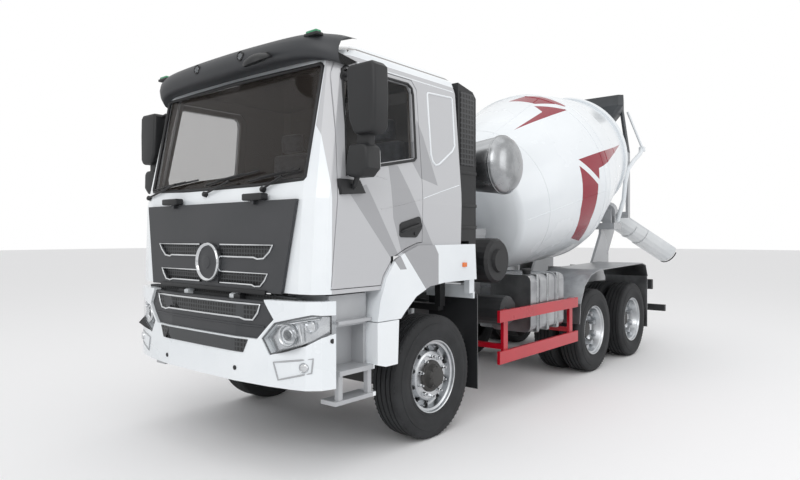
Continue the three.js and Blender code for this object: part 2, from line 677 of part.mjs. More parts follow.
function cab() {
  const tunnel = box([-half - 10, half + 10], [tunnelFront, cabRear + 10],
    [cabBottom - 10, tunnelUnderside]);
  const wall = cabBody(0).subtract(tunnel).subtract(cabInside());
  const core = cabBody(cabWall + 4, -60);
  const sill = box([half - 300, half - 70], [-1300, 0], [doorBottom - 10, doorBottom + 80]);
  const doorway = sidePlate(doorOutline(0), sideReach).subtract(core).subtract(sill);
  const windscreenHole = frontPlate(screenOutline(0), [-1500, -1000]);
  const shell = wall.subtract(doorway).subtract(mirrored(doorway)).subtract(windscreenHole);
  const lug = sidePlate([[tiltPivot.y - 22, tiltPivot.z + 22], [tiltPivot.y - 22, tiltPivot.z - 22],
    [tiltPivot.y + 30, tiltPivot.z - 22], [tiltPivot.y + 150, cabBottom + 5],
    [tiltPivot.y + 60, cabBottom + 5]],
  [railInner - 55, railInner - fit]);
  const block = box([570, 620], [-1414, -1330], [1982, 2012]);
  piece('cab_shell', join(shell, ...bothSides(lug), ...bothSides(block)), 'white');

  const leafFoot = box([half - 300, half - 70 + fit], [-1300, 0], [doorBottom, doorBottom + 90]);
  const leaf = sidePlate(doorOutline(panelGap), sideReach).subtract(cabBody(cabWall + 2, -60))
    .subtract(leafFoot);
  const door = wall.intersect(leaf).subtract(sidePlate(windowOutline(0), sideReach));
  pair('door', door, 'grey');

  const pane = cabBody(glassInset).subtract(cabBody(glassInset + glassThickness));
  pair('door_glass', pane.intersect(sidePlate(windowOutline(fit), sideReach)), 'glass');
  piece('windscreen', pane.intersect(frontPlate(screenOutline(fit), [-1500, -1000])), 'glass');
}

function frontPanel() {
  const outline = [[-1010, lidTop], [1010, lidTop], [880, lidBottom], [-880, lidBottom]];
  const plate = frontPlate(outline, [-1470, -1330]);
  const skin = cabBody(-lidThickness - 8).subtract(cabBody(-8));
  const slots = [[1655, 771, 1550, 667], [1445, 719, 1345, 640]].map(([top, wide, low, narrow]) =>
    frontPlate([[-wide, top], [-110, top], [-110, low], [-narrow, low]], [-1500, -1300]));
  const cuts = slots.flatMap((slot) => bothSides(slot));
  const tabs = bothSides(box([530, 570 - fit], [-1410, -1360], [1950, 1990]));
  const panel = plate.intersect(skin).subtract(join(...cuts));
  piece('front_panel', join(panel, ...tabs), 'charcoal');
}

function sunVisor() {
  const side = sidePlate([[-1150, 3035], [-1290, 3050], [-1330, 3090], [-1300, 3160],
    [-1180, 3205], [-946, 3222], [-940, 3080]], [-half, half]);
  const edge = [[1145, -930], [1165, -1080], [1130, -1190], [1030, -1265], [850, -1305],
    [450, -1330]];
  const plan = planPlate([...edge, ...edge.slice().reverse().map(([x, y]) => [-x, y])],
    [3000, 3300]);
  const brow = [[1180, 3020], [1180, 3125], [1080, 3170], [880, 3200], [400, 3222]];
  const front = frontPlate([...brow, ...brow.slice().reverse().map(([x, z]) => [-x, z])],
    [-1400, -900]);
  piece('sun_visor', side.intersect(plan).intersect(front).subtract(cabBody(-0.5)), 'charcoal');
}

function mirrorArm() {
  const housing = (x, y, z, taper) => hull([[x[0] + taper, y[0] + taper, z[0]],
    [x[1] - taper, y[0] + taper * 2, z[0]], [x[0] + taper, y[1], z[0]], [x[1] - taper, y[1], z[0]],
    [x[0], y[0], z[0] + 60], [x[1], y[0] + 40, z[0] + 60], [x[0], y[1], z[0] + 60],
    [x[1], y[1], z[0] + 60], [x[0], y[0], z[1] - 60], [x[1], y[0] + 40, z[1] - 60],
    [x[0], y[1], z[1] - 60], [x[1], y[1], z[1] - 60], [x[0] + taper, y[0] + taper, z[1]],
    [x[1] - taper, y[0] + taper * 2, z[1]], [x[0] + taper, y[1], z[1]],
    [x[1] - taper, y[1], z[1]]]);
  const main = housing([1290, 1515], [-1160, -1010], [2420, 2890], 24);
  const small = housing([1272, 1462], [-1150, -1010], [2135, 2360], 18);
  const stem = box([1370, 1410], [-1085, -1045], [2350, 2430]);
  const low = join(box([1266, 1320], [-1085, -1045], [2070, 2200]),
    box([1236, 1275], [-1140, -960], [2010, 2110]).subtract(cabBody(-fit)));
  const high = box([1150, 1410], [-1080, -1050], [2850, 2885]).subtract(cabBody(-fit));
  pair('mirror', join(main, small, stem, low, high), 'black');
}

// Outline of the front wheel arch cover seen from the side.
const fenderSplit = 1071;
const fenderOuter = 1250;

function fenders() {
  const upper = sidePlate([[-793, fenderSplit + 3], [-760, 1230], [-690, 1400], [-583, 1535],
    [-430, 1600], [-300, 1640], [530, 1643], [553, 1324], [60, 1321], [-150, 1300],
    [-330, 1230], [-470, 1120], [-520, fenderSplit + 3]], [1060, fenderOuter]);
  const inner = box([railOuter + 560, 1090], [tunnelFront - 60, 553],
    [tunnelUnderside - 60, tunnelUnderside - fit]);
  const post = join(box([railOuter + fit, railOuter + 45], [575, 620], [850, 1260]),
    box([railOuter + fit, 1180], [575, 620], [1190, 1260]),
    box([1120, 1180], [540, 620], [1190, 1340]));
  const flap = join(box([640, 1200], [640, 652], [300, 1180]),
    box([640, 1180], [600, 645], [1140, 1200]));
  pair('fender', join(upper, inner, post, flap).subtract(cabBody(-fit)), 'white');
}

function steps() {
  const lower = sidePlate([[-793, fenderSplit - 3], [-793, 753], [-700, 728], [-560, 728],
    [-545, fenderSplit - 3]], [1100, fenderOuter]);
  const housing = box([700, 1140], [-1190, -805], [745, 1290]);
  const arm = box([railOuter + fit, 760], [-1080, -900], [800, 960]);
  const treads = [box([1000, 1200], [-1150, -805], [1085, 1110]),
    box([1000, 1215], [-1150, -790], [725, 760])];
  const hanging = join(box([1160, 1200], [-1150, -1110], [520, 745]),
    box([1160, 1200], [-850, -810], [520, 745]), box([1060, 1210], [-1190, -770], [520, 550]));
  const pocket = box([1020, 1160], [-1160, -835], [760, 1060]);
  const strut = box([1060, 1130], [-830, -700], [780, 1060]);
  pair('step', join(housing.subtract(pocket), arm, ...treads, hanging, strut, lower), 'grey');
}

// ---------------------------------------------------------------- bumper group
const bumperCurve = [[0, -1500], [450, -1496], [800, -1455], [1000, -1412], [1110, -1376],
  [1190, -1300], [1222, -1195]];

function bumperRing(z0, z1, outside, wall) {
  const outer = bumperCurve.map(([x, y]) => [x === 0 ? 0 : x - outside * (x / 1222), y + outside]);
  const ring = [...outer, ...outer.slice().reverse().map(([x, y]) =>
    [Math.max(0, x - wall * (x / 1222)), y === outer.at(-1)[1] ? y : y + wall])];
  const right = planPlate(ring.filter(([x], i) => i === 0 || i === ring.length - 1 || x > 0),
    [z0, z1]);
  return join(right, mirrored(right).add(box([-2, 2], [-1500 + outside, -1500 + outside + wall],
    [z0, z1])));
}

const headlampOutline = (gap) => [[735 + gap, 985], [812 + gap / 2, 872 + gap], [1110, 958 + gap],
  [1225 - gap, 1037 + gap], [1225 - gap, 1163 - gap], [1140, 1172 - gap], [852 + gap, 1105 - gap]];
const grilleOutline = (gap) => [[-849 + gap, 1126], [-760 + gap, 1250 - gap],
  [760 - gap, 1250 - gap], [849 - gap, 1126], [690 - gap, 975 + gap], [-690 + gap, 975 + gap]];

function bumperGroup() {
  const ring = bumperRing(bumperBottom, bumperTop, 0, bumperWall);
  const lampHole = frontPlate(headlampOutline(0), [-1560, -1150]);
  const mouth = join(frontPlate(grilleOutline(0), [-1560, -1300]),
    box([-760, 760], [-1560, -1300], [1240, 1300]));
  const vent = box([-540, 540], [-1560, -1300], [900, 945]);
  const brackets = bothSides(box([railInner, railOuter], [-1460, -frontOverhang - fit],
    [760, 900]));
  const body = ring.subtract(lampHole).subtract(mirrored(lampHole)).subtract(mouth).subtract(vent);
  piece('bumper', join(body, ...brackets), 'white');
  const lamp = bumperRing(865, 1175, 4, bumperWall - 8)
    .intersect(frontPlate(headlampOutline(fit), [-1560, -1150]));
  pair('headlamp', lamp, 'lamp');
  const grille = bumperRing(970, 1255, 22, 30).intersect(frontPlate(grilleOutline(fit),
    [-1560, -1300]));
  piece('lower_grille', grille, 'charcoal');
}

// ---------------------------------------------------------------- rear mudguards and lamps
function rearMudguard() {
  const y0 = wheelbase - 550;
  const y1 = rearAxles[1] + 540;
  const wall = 12;
  const band = (inset) => [[y0 + inset, 657], [y0 + 30 + inset, 900 - inset * 0.3],
    [y0 + 150 + inset * 0.7, 1110 - inset * 0.7], [y0 + 340 + inset * 0.4, 1235 - inset],
    [y0 + 600, 1290 - inset], [y1 - 242, 1323 - inset], [y1 - 90 - inset * 0.4, 1290 - inset],
    [y1 - inset, 1117 - inset * 0.3]];
  const outline = [...band(0), ...band(wall).reverse()];
  const hood = sidePlate(outline, [560, 1222]);
  const flap = box([570, 1210], [y1 + 2, y1 + 14], [357, 1140]);
  const hook = box([570, 1210], [y1 - wall - 2, y1 + 8], [1090, 1130]);
  const supports = [wheelbase + 250, rearAxles[1] - 400];
  const arms = supports.map((place) =>
    box([railOuter + fit, 620], [place - 25, place + 25], [1250, 1300]));
  const posts = supports.map((place) =>
    box([railOuter + fit, railOuter + 40], [place - 25, place + 25], [900, 1300]));
  pair('rear_mudguard', join(hood, flap, hook, ...arms, ...posts), 'silver');
}

function rearBar() {
  const y = frameRear + fit;
  const lampY = rearAxles[1] + 780;
  const bar = box([-1230, 1230], [y + 60, y + 120], [520, 620]);
  const drops = bothSides(box([railInner, railOuter], [y, y + 70], [520, 960]));
  const lampArm = bothSides(box([railOuter + fit, 1120], [lampY, lampY + 40], [900, 960]));
  const lamps = bothSides(box([820, 1190], [lampY + 30, lampY + 90], [900, 1050]));
  const stays = bothSides(box([railOuter + fit, railOuter + 60], [lampY, frameRear + 70],
    [880, 970]));
  const tie = bothSides(box([railOuter - 30, railOuter + 60], [y, y + 70], [880, 970]));
  piece('rear_bar', join(bar, ...drops, ...lampArm, ...lamps, ...stays, ...tie), 'chassis');
}

// ---------------------------------------------------------------- cab interior
function interior() {
  const dash = sidePlate([[-1300, 1900], [-1240, 2040], [-980, 2010], [-900, 1900], [-960, 1640],
    [-1300, 1640]], [-1120, 1120]).intersect(cabBody(cabWall + fit));
  piece('dashboard', dash, 'charcoal');
  const floor = tunnelUnderside + cabWall + fit;
  const seat = (x) => join(
    hull([[x - 250, -560, 1760], [x + 250, -560, 1760], [x - 250, -80, 1760],
      [x + 250, -80, 1760], [x - 240, -590, 1870], [x + 240, -590, 1870],
      [x - 240, -80, 1900], [x + 240, -80, 1900]]),
    hull([[x - 240, -130, 1850], [x + 240, -130, 1850], [x - 240, 10, 1850],
      [x + 240, 10, 1850], [x - 200, 20, 2560], [x + 200, 20, 2560], [x - 200, 120, 2560],
      [x + 200, 120, 2560]]),
    box([x - 190, x + 190], [-480, -120], [floor, 1770]));
  const hump = box([-620, 620], [-440, -140], [floor, floor + 70]);
  piece('seats', join(seat(620), seat(-620), hump), 'cloth');
  const hub = new THREE.Vector3(-620, -830, 2080);
  const lean = new THREE.Vector3(0, 0.5, 0.866);
  const rim = turned([[-14, 205], [-14, 235], [14, 235], [14, 205], [-14, 205]], hub, lean, 20);
  const boss = disc(hub, lean, -50, 10, 60, 16);
  const spokes = join(box([-840, -400], [-850, -810], [2068, 2092]));
  const column = rod([hub.x, hub.y - 4, hub.z - 6], [hub.x, -925, 1916], 35, 8)
    .subtract(dash.translate([0, fit * 0.81, fit * 0.59]));
  piece('steering_wheel', join(rim, boss, spokes, column), 'black');
}

// ---------------------------------------------------------------- build
frame();
frontAxle();
knuckle();
frontWheel();
rearAxles.forEach((y, i) => {
  const name = ['front', 'rear'][i];
  rearAxle(y, `rear_axle_${name}`, i === 0 ? rearAxles[1] - 300 - fit : null);
  twinWheels(y, `twin_wheels_${name}`);
});
rearSuspension();
driveline();
fuelTank();
batteryBox();
airTank();
airCleaner();
snorkel();
sideGuard();
drumShell();
frontPedestal();
waterTank();
rearPedestal();
hopper();
dischargeFunnel();
ladder();
chuteCarrier();
chuteAssembly();
cab();
frontPanel();
sunVisor();
mirrorArm();
fenders();
steps();
bumperGroup();
rearMudguard();
rearBar();
interior();

// Origin on the ground under the middle of the truck.
const bounds = new THREE.Box3().setFromObject(truck);
truck.position.set(0, -(bounds.min.y + bounds.max.y) / 2, -bounds.min.z);

export default truck;
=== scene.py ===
# Three-axle concrete mixer truck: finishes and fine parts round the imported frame.
import json
import math
import bpy
from mathutils import Matrix, Vector


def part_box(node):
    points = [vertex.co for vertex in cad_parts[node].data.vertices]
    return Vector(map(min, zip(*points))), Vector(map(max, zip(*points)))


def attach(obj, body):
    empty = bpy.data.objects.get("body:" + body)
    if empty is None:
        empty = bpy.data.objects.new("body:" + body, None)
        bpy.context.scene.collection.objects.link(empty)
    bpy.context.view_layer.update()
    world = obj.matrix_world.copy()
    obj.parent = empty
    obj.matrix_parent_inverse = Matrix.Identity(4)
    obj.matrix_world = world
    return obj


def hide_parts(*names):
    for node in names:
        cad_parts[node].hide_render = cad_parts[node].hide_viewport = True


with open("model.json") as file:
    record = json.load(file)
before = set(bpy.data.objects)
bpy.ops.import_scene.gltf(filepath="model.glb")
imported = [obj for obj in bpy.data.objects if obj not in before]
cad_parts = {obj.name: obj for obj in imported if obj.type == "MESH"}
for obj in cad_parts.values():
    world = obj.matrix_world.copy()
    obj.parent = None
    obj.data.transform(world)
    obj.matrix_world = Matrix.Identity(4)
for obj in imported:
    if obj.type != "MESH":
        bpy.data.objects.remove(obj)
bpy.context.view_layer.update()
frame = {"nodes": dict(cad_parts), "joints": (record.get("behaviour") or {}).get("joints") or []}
scene = bpy.context.scene
nodes = frame["nodes"]

# Every place below is metres from the ground under the front axle's middle, x to the left side.
hubHeight = 0.525
twinAxles = {"first": 3.40, "apart": 1.35}
wheelLow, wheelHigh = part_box("front_wheel_left")
axleY = (wheelLow.y + wheelHigh.y) / 2
groundZ = (wheelLow.z + wheelHigh.z) / 2 - hubHeight
drumJoint = next(j for j in frame["joints"] if j["name"] == "drum_spin")


def at(x, y, z):
    # a place on the truck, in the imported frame's own axes
    return Vector((x, y + axleY, z + groundZ))


def linear(hexText):
    # sRGB hex to linear colour
    parts = [int(hexText[i:i + 2], 16) / 255 for i in (1, 3, 5)]
    return tuple(c / 12.92 if c < 0.04045 else ((c + 0.055) / 1.055) ** 2.4 for c in parts) + (1,)


cameraPlace = {"heading": (-0.641, 0.767), "spot": (4.34, -4.232, 1.716), "lens": 27.95,
               "sensor": 36, "shift": -0.005, "farEnd": 200}


def placeCamera():
    # low three-quarter view from the left front
    data = bpy.data.cameras.new("studioCamera")
    data.lens = cameraPlace["lens"]
    data.sensor_width = cameraPlace["sensor"]
    data.shift_y = cameraPlace["shift"]
    data.clip_end = cameraPlace["farEnd"]
    camera = bpy.data.objects.new("studioCamera", data)
    scene.collection.objects.link(camera)
    camera.location = at(*cameraPlace["spot"])
    heading = Vector((*cameraPlace["heading"], 0))
    camera.rotation_euler = heading.to_track_quat("-Z", "Y").to_euler()
    scene.camera = camera


def clearSelection():
    for item in list(bpy.context.selected_objects):
        item.select_set(False)


def addNode(tree, kind, settings=None, links=None):
    # settings are sockets or properties by name, links feed sockets from other nodes
    node = tree.nodes.new(kind)
    for name, value in (settings or {}).items():
        if isinstance(name, int) or name in node.inputs:
            node.inputs[name].default_value = value
        else:
            setattr(node, name, value)
    for name, source in (links or {}).items():
        tree.links.new(source, node.inputs[name])
    return node


def startMaterial(name, color, roughness, metallic=0.0, **sockets):
    # a principled material with the values that are the same all over it
    material = bpy.data.materials.new(name)
    material.use_nodes = True
    tree = material.node_tree
    shader = tree.nodes["Principled BSDF"]
    shader.inputs["Base Color"].default_value = linear(color)
    shader.inputs["Roughness"].default_value = roughness
    shader.inputs["Metallic"].default_value = metallic
    for socket, value in sockets.items():
        shader.inputs[socket.replace("_", " ")].default_value = value
    place = addNode(tree, "ShaderNodeTexCoord").outputs["Object"]
    return material, tree, shader, place


def grain(tree, shader, place, millimetres, depth, kind="ShaderNodeTexNoise"):
    # raised grain, its spacing and depth in millimetres
    pattern = addNode(tree, kind, {"Scale": 1000 / millimetres}, {"Vector": place})
    if kind == "ShaderNodeTexNoise":
        pattern.inputs["Detail"].default_value = 4.0
    bump = addNode(tree, "ShaderNodeBump", {"Strength": 1.0, "Distance": depth / 1000},
                   {"Height": pattern.outputs[0]})
    tree.links.new(bump.outputs[0], shader.inputs["Normal"])


def mottle(tree, shader, place, colors, millimetres, roughness, steps=(0.35, 0.65)):
    # slow drift of tone and gloss over the surface
    drift = addNode(tree, "ShaderNodeTexNoise", {"Scale": 1000 / millimetres, "Detail": 5.0},
                    {"Vector": place}).outputs[0]
    tone = addNode(tree, "ShaderNodeValToRGB", links={"Fac": drift})
    for stop, color, position in zip(tone.color_ramp.elements, colors, steps):
        stop.color = linear(color)
        stop.position = position
    tree.links.new(tone.outputs[0], shader.inputs["Base Color"])
    gloss = addNode(tree, "ShaderNodeMapRange", {"To Min": roughness[0], "To Max": roughness[1]},
                    {"Value": drift})
    tree.links.new(gloss.outputs[0], shader.inputs["Roughness"])
    return tone.outputs[0]


def makeEnamel(name, color, shade, roughness=(0.22, 0.34)):
    # baked enamel on pressed steel: an even colour under a clear gloss, with faint orange peel
    material, tree, shader, place = startMaterial(name, color, 0.3, Coat_Weight=0.35,
                                                  Coat_Roughness=0.08)
    mottle(tree, shader, place, (shade, color), 900, roughness, (0.3, 0.6))
    grain(tree, shader, place, 7, 0.06)
    return material


def halfPlane(tree, parts, a, b, c):
    # 1 where a*y + b*z + c is positive
    ySide = addNode(tree, "ShaderNodeMath", {"operation": "MULTIPLY_ADD", 1: a, 2: c},
                    {0: parts.outputs["Y"]})
    total = addNode(tree, "ShaderNodeMath", {"operation": "MULTIPLY_ADD", 1: b},
                    {0: parts.outputs["Z"], 2: ySide.outputs[0]})
    return addNode(tree, "ShaderNodeMath", {"operation": "GREATER_THAN", 1: 0.0},
                   {0: total.outputs[0]}).outputs[0]


def combine(tree, operation, values):
    # several masks folded into one
    result = values[0]
    for value in values[1:]:
        result = addNode(tree, "ShaderNodeMath", {"operation": operation},
                         {0: result, 1: value}).outputs[0]
    return result


def polygonMask(tree, parts, corners):
    # inside of a convex polygon on the side of the cab, corners given clockwise as (y, z)
    edges = []
    for (y0, z0), (y1, z1) in zip(corners, corners[1:] + corners[:1]):
        a, b = z1 - z0, y0 - y1
        edges.append(halfPlane(tree, parts, a, b, -(a * (y0 + axleY) + b * z0)))
    return combine(tree, "MULTIPLY", edges)


cabInner = {"walls": ((0.030, 0.155), (0.125, 0.040)), "sideLean": 0.0787, "screenLean": 0.1742,
            "beltZ": 2.09, "beltHalf": 1.238, "beltFront": 1.318, "lowHalf": 1.215,
            "lowFront": 1.330, "back": 0.345, "roof": 3.11, "floor": 1.62}


def insideCab(tree, parts, reach):
    # 1 within the cab's inner faces, which carry brown moulded trim
    shape = cabInner
    sideLean, screenLean = shape["sideLean"], shape["screenLean"]
    lean = addNode(tree, "ShaderNodeMath", {"operation": "MULTIPLY_ADD", 1: sideLean},
                   {0: parts.outputs["Z"], 2: reach.outputs[0]})
    zones = []
    for side, front in shape["walls"]:
        limits = [(lean, shape["beltHalf"] - side + sideLean * shape["beltZ"]),
                  (reach, shape["lowHalf"] - side)]
        zones.append(combine(tree, "MULTIPLY", [
            addNode(tree, "ShaderNodeMath", {"operation": "LESS_THAN", 1: limit},
                    {0: source.outputs[0]}).outputs[0] for source, limit in limits] + [
            halfPlane(tree, parts, 1, -screenLean,
                      shape["beltFront"] - front + screenLean * shape["beltZ"] - axleY),
            halfPlane(tree, parts, 1, 0, shape["lowFront"] - front - axleY)]))
    return combine(tree, "MULTIPLY", [combine(tree, "MAXIMUM", zones),
                                      halfPlane(tree, parts, -1, 0, shape["back"] + axleY),
                                      halfPlane(tree, parts, 0, -1, shape["roof"]),
                                      halfPlane(tree, parts, 0, 1, -shape["floor"])])


cabColors = {"trim": "#4b4540", "white": "#e8ecef", "whiteShade": "#dde2e6", "grey": "#b9babd",
             "facet": "#9d9ea1", "flap": "#2b2c2e"}
cabZones = {"flankReach": 1.06, "flankStart": -1.235, "roofLine": 3.03, "flapStart": 0.628,
            "archStart": -0.800}
# slanting facets on the flank, corners as (y, z)
cabFacets = [
    [(-1.085, 2.02), (-0.905, 2.09), (-0.45, 1.45), (-0.53, 1.45)],
    [(-0.645, 2.26), (-0.53, 2.26), (-0.03, 1.56), (-0.03, 1.2), (-0.13, 1.2), (-0.50, 1.60),
     (-0.60, 1.85)],
    [(-0.245, 2.69), (-0.18, 2.53), (0.05, 2.12), (-0.25, 2.18), (-0.36, 2.32)],
]


def makeCabEnamel(name, greyFrom):
    # two-tone enamel: white front and roof, light grey flanks with darker slanting facets
    material, tree, shader, place = startMaterial(name, cabColors["white"], 0.3,
                                                  Coat_Weight=0.4, Coat_Roughness=0.08)
    white = mottle(tree, shader, place, (cabColors["whiteShade"], cabColors["white"]), 900,
                   (0.2, 0.3), (0.3, 0.6))
    parts = addNode(tree, "ShaderNodeSeparateXYZ", links={0: place})
    reach = addNode(tree, "ShaderNodeMath", {"operation": "ABSOLUTE"}, {0: parts.outputs["X"]})
    outside = addNode(tree, "ShaderNodeMath", {"operation": "GREATER_THAN",
                                               1: cabZones["flankReach"]},
                      {0: reach.outputs[0]}).outputs[0]
    flank = combine(tree, "MULTIPLY", [
        outside, halfPlane(tree, parts, 1, 0, -cabZones["flankStart"] - axleY),
        halfPlane(tree, parts, 0, -1, cabZones["roofLine"]),
        halfPlane(tree, parts, 0, 1, -greyFrom)])
    facet = combine(tree, "MAXIMUM", [polygonMask(tree, parts, c) for c in cabFacets])
    facet = combine(tree, "MULTIPLY", [facet, outside])
    grey = addNode(tree, "ShaderNodeMix", {"data_type": "RGBA", 6: linear(cabColors["white"]),
                                           7: linear(cabColors["grey"])}, {0: flank})
    tree.links.new(white, grey.inputs[6])
    dark = addNode(tree, "ShaderNodeMix", {"data_type": "RGBA", 7: linear(cabColors["facet"])},
                   {0: facet, 6: grey.outputs[2]})
    lined = addNode(tree, "ShaderNodeMix", {"data_type": "RGBA", 7: linear(cabColors["trim"])},
                    {0: insideCab(tree, parts, reach), 6: dark.outputs[2]})
    rear = halfPlane(tree, parts, 1, 0, -cabZones["flapStart"] - axleY)
    flap = addNode(tree, "ShaderNodeMix", {"data_type": "RGBA", 7: linear(cabColors["flap"])},
                   {0: rear, 6: lined.outputs[2]})
    tree.links.new(flap.outputs[2], shader.inputs["Base Color"])
    grain(tree, shader, place, 7, 0.06)
    return material


def makeStepEnamel():
    # grey step boxes with the white foot of the wheel arch
    material, tree, shader, place = startMaterial("enamelSteps", cabColors["grey"], 0.35,
                                                  Coat_Weight=0.3, Coat_Roughness=0.1)
    base = mottle(tree, shader, place, ("#a4a6a9", "#b1b3b6"), 500, (0.25, 0.4))
    parts = addNode(tree, "ShaderNodeSeparateXYZ", links={0: place})
    arch = halfPlane(tree, parts, 1, 0, -cabZones["archStart"] - axleY)
    paint = addNode(tree, "ShaderNodeMix", {"data_type": "RGBA", 7: linear(cabColors["white"])},
                    {0: arch, 6: base})
    tree.links.new(paint.outputs[2], shader.inputs["Base Color"])
    grain(tree, shader, place, 7, 0.06)
    return material


drumColors = {"white": "#e9edf0", "shade": "#dfe4e8", "stripe": "#8c1029"}
# tapered stripes, repeated half a turn round: (metres along the drum, degrees from its top)
drumStripes = [
    [(1.40, 2), (1.57, 10), (1.66, 37), (1.40, 22)],
    [(1.57, 10), (1.68, 18), (1.70, 37), (1.66, 37)],
    [(0.60, 29), (1.28, 31), (1.60, 41), (1.20, 36)],
    [(1.34, 23), (1.60, 41), (1.28, 31)],
    [(1.15, 73), (2.85, 80), (1.47, 84)],
    [(1.15, 73), (1.47, 84), (1.44, 91)],
    [(1.12, 77), (1.41, 94), (1.36, 118), (1.06, 107)],
    [(1.06, 107), (1.36, 118), (1.41, 138), (1.12, 132)],
]


def makeDrumEnamel():
    # sprayed enamel on rolled plate, with soft waves of tone and gloss
    material, tree, shader, place = startMaterial("enamelDrum", drumColors["white"], 0.3,
                                                  Coat_Weight=0.3, Coat_Roughness=0.1)
    white = mottle(tree, shader, place, (drumColors["shade"], drumColors["white"]), 1400,
                   (0.2, 0.33), (0.3, 0.65))
    joint, axis = Vector(drumJoint["pos_m"]), Vector(drumJoint["axis"])
    tilt = math.atan2(axis.z, axis.y)
    local = addNode(tree, "ShaderNodeMapping", {"vector_type": "TEXTURE"}, {"Vector": place})
    local.inputs["Location"].default_value = joint
    local.inputs["Rotation"].default_value = (tilt, 0, 0)
    parts = addNode(tree, "ShaderNodeSeparateXYZ", links={0: local.outputs[0]})
    turn = addNode(tree, "ShaderNodeMath", {"operation": "ARCTAN2"},
                   {0: parts.outputs["X"], 1: parts.outputs["Z"]})
    turn = addNode(tree, "ShaderNodeMath", {"operation": "MULTIPLY", 1: 180 / math.pi},
                   {0: turn.outputs[0]})
    turn = addNode(tree, "ShaderNodeMath", {"operation": "FLOORED_MODULO", 1: 180.0},
                   {0: turn.outputs[0]})
    masks = []
    for stripe in drumStripes:
        middle = [sum(c[k] for c in stripe) / len(stripe) for k in (0, 1)]
        edges = []
        for (s0, t0), (s1, t1) in zip(stripe, stripe[1:] + stripe[:1]):
            a, b = t1 - t0, s0 - s1
            c = -(a * s0 + b * t0)
            if a * middle[0] + b * middle[1] + c < 0:
                a, b, c = -a, -b, -c
            sSide = addNode(tree, "ShaderNodeMath", {"operation": "MULTIPLY_ADD", 1: a, 2: c},
                            {0: parts.outputs["Y"]})
            total = addNode(tree, "ShaderNodeMath", {"operation": "MULTIPLY_ADD", 1: b},
                            {0: turn.outputs[0], 2: sSide.outputs[0]})
            edges.append(addNode(tree, "ShaderNodeMath", {"operation": "GREATER_THAN", 1: 0.0},
                                 {0: total.outputs[0]}).outputs[0])
        masks.append(combine(tree, "MULTIPLY", edges))
    stripes = combine(tree, "MAXIMUM", masks)
    paint = addNode(tree, "ShaderNodeMix", {"data_type": "RGBA", 7: linear(drumColors["stripe"])},
                    {0: stripes, 6: white})
    tree.links.new(paint.outputs[2], shader.inputs["Base Color"])
    grain(tree, shader, place, 12, 0.08)
    return material


def makePlastic(name, color, shade, roughness, grainSize=2.2, depth=0.12):
    # moulded polypropylene: dull, with a fine pebbled grain, drawn coarser than real so it shows
    material, tree, shader, place = startMaterial(name, color, 0.5)
    mottle(tree, shader, place, (shade, color), 350, roughness)
    grain(tree, shader, place, grainSize * 3, depth, "ShaderNodeTexVoronoi")
    return material


def makeRubber():
    # cured tyre rubber: near black, matt, greyed by dust in slow patches
    material, tree, shader, place = startMaterial("curedRubber", "#262729", 0.85)
    mottle(tree, shader, place, ("#1b1c1e", "#2b2c2e"), 180, (0.7, 0.9))
    grain(tree, shader, place, 9, 0.25)
    return material


def makeMetal(name, color, shade, roughness, grainSize=5, depth=0.05, stretch=(1, 1, 1)):
    # bare metal: bright, its gloss varied by rolling and polishing marks
    material, tree, shader, place = startMaterial(name, color, 0.3, 1.0)
    local = addNode(tree, "ShaderNodeMapping", {"Scale": stretch}, {"Vector": place}).outputs[0]
    mottle(tree, shader, local, (shade, color), 160, roughness)
    grain(tree, shader, local, grainSize, depth)
    return material


def makeChassisPaint(name="chassisEnamel", color="#2c2d2f", shade="#232426"):
    # satin chassis enamel brushed over rolled and cast steel
    material, tree, shader, place = startMaterial(name, color, 0.5)
    mottle(tree, shader, place, (shade, color), 240, (0.4, 0.65))
    grain(tree, shader, place, 14, 0.3)
    return material


def makeGlass(name, color, roughness=0.02, alpha=0.35):
    # laminated safety glass, lightly smoked, glossy and clear enough to see the seats
    material, tree, shader, place = startMaterial(name, color, roughness, IOR=1.5, Alpha=alpha)
    film = addNode(tree, "ShaderNodeTexNoise", {"Scale": 3.0, "Detail": 3.0}, {"Vector": place})
    haze = addNode(tree, "ShaderNodeMapRange", {"To Min": roughness, "To Max": roughness + 0.05},
                   {"Value": film.outputs[0]})
    tree.links.new(haze.outputs[0], shader.inputs["Roughness"])
    return material


def makeLens(name, color, alpha=0.55, ribMillimetres=6):
    # moulded polycarbonate lamp lens with fine optical ribs
    material, tree, shader, place = startMaterial(name, color, 0.08, IOR=1.58, Alpha=alpha,
                                                  Coat_Weight=0.5)
    ribs = addNode(tree, "ShaderNodeTexWave", {"Scale": 1000 / ribMillimetres / 20},
                   {"Vector": place})
    bump = addNode(tree, "ShaderNodeBump", {"Strength": 0.5, "Distance": 0.001},
                   {"Height": ribs.outputs[1]})
    tree.links.new(bump.outputs[0], shader.inputs["Normal"])
    return material


def makeCloth():
    # woven seat cloth: matt, thread weave drawn at 4 mm so that it shows
    material, tree, shader, place = startMaterial("wovenCloth", "#55585e", 0.9, Sheen_Weight=0.3)
    mottle(tree, shader, place, ("#4b4e54", "#5f6268"), 60, (0.85, 0.98))
    grain(tree, shader, place, 4, 0.4, "ShaderNodeTexVoronoi")
    return material


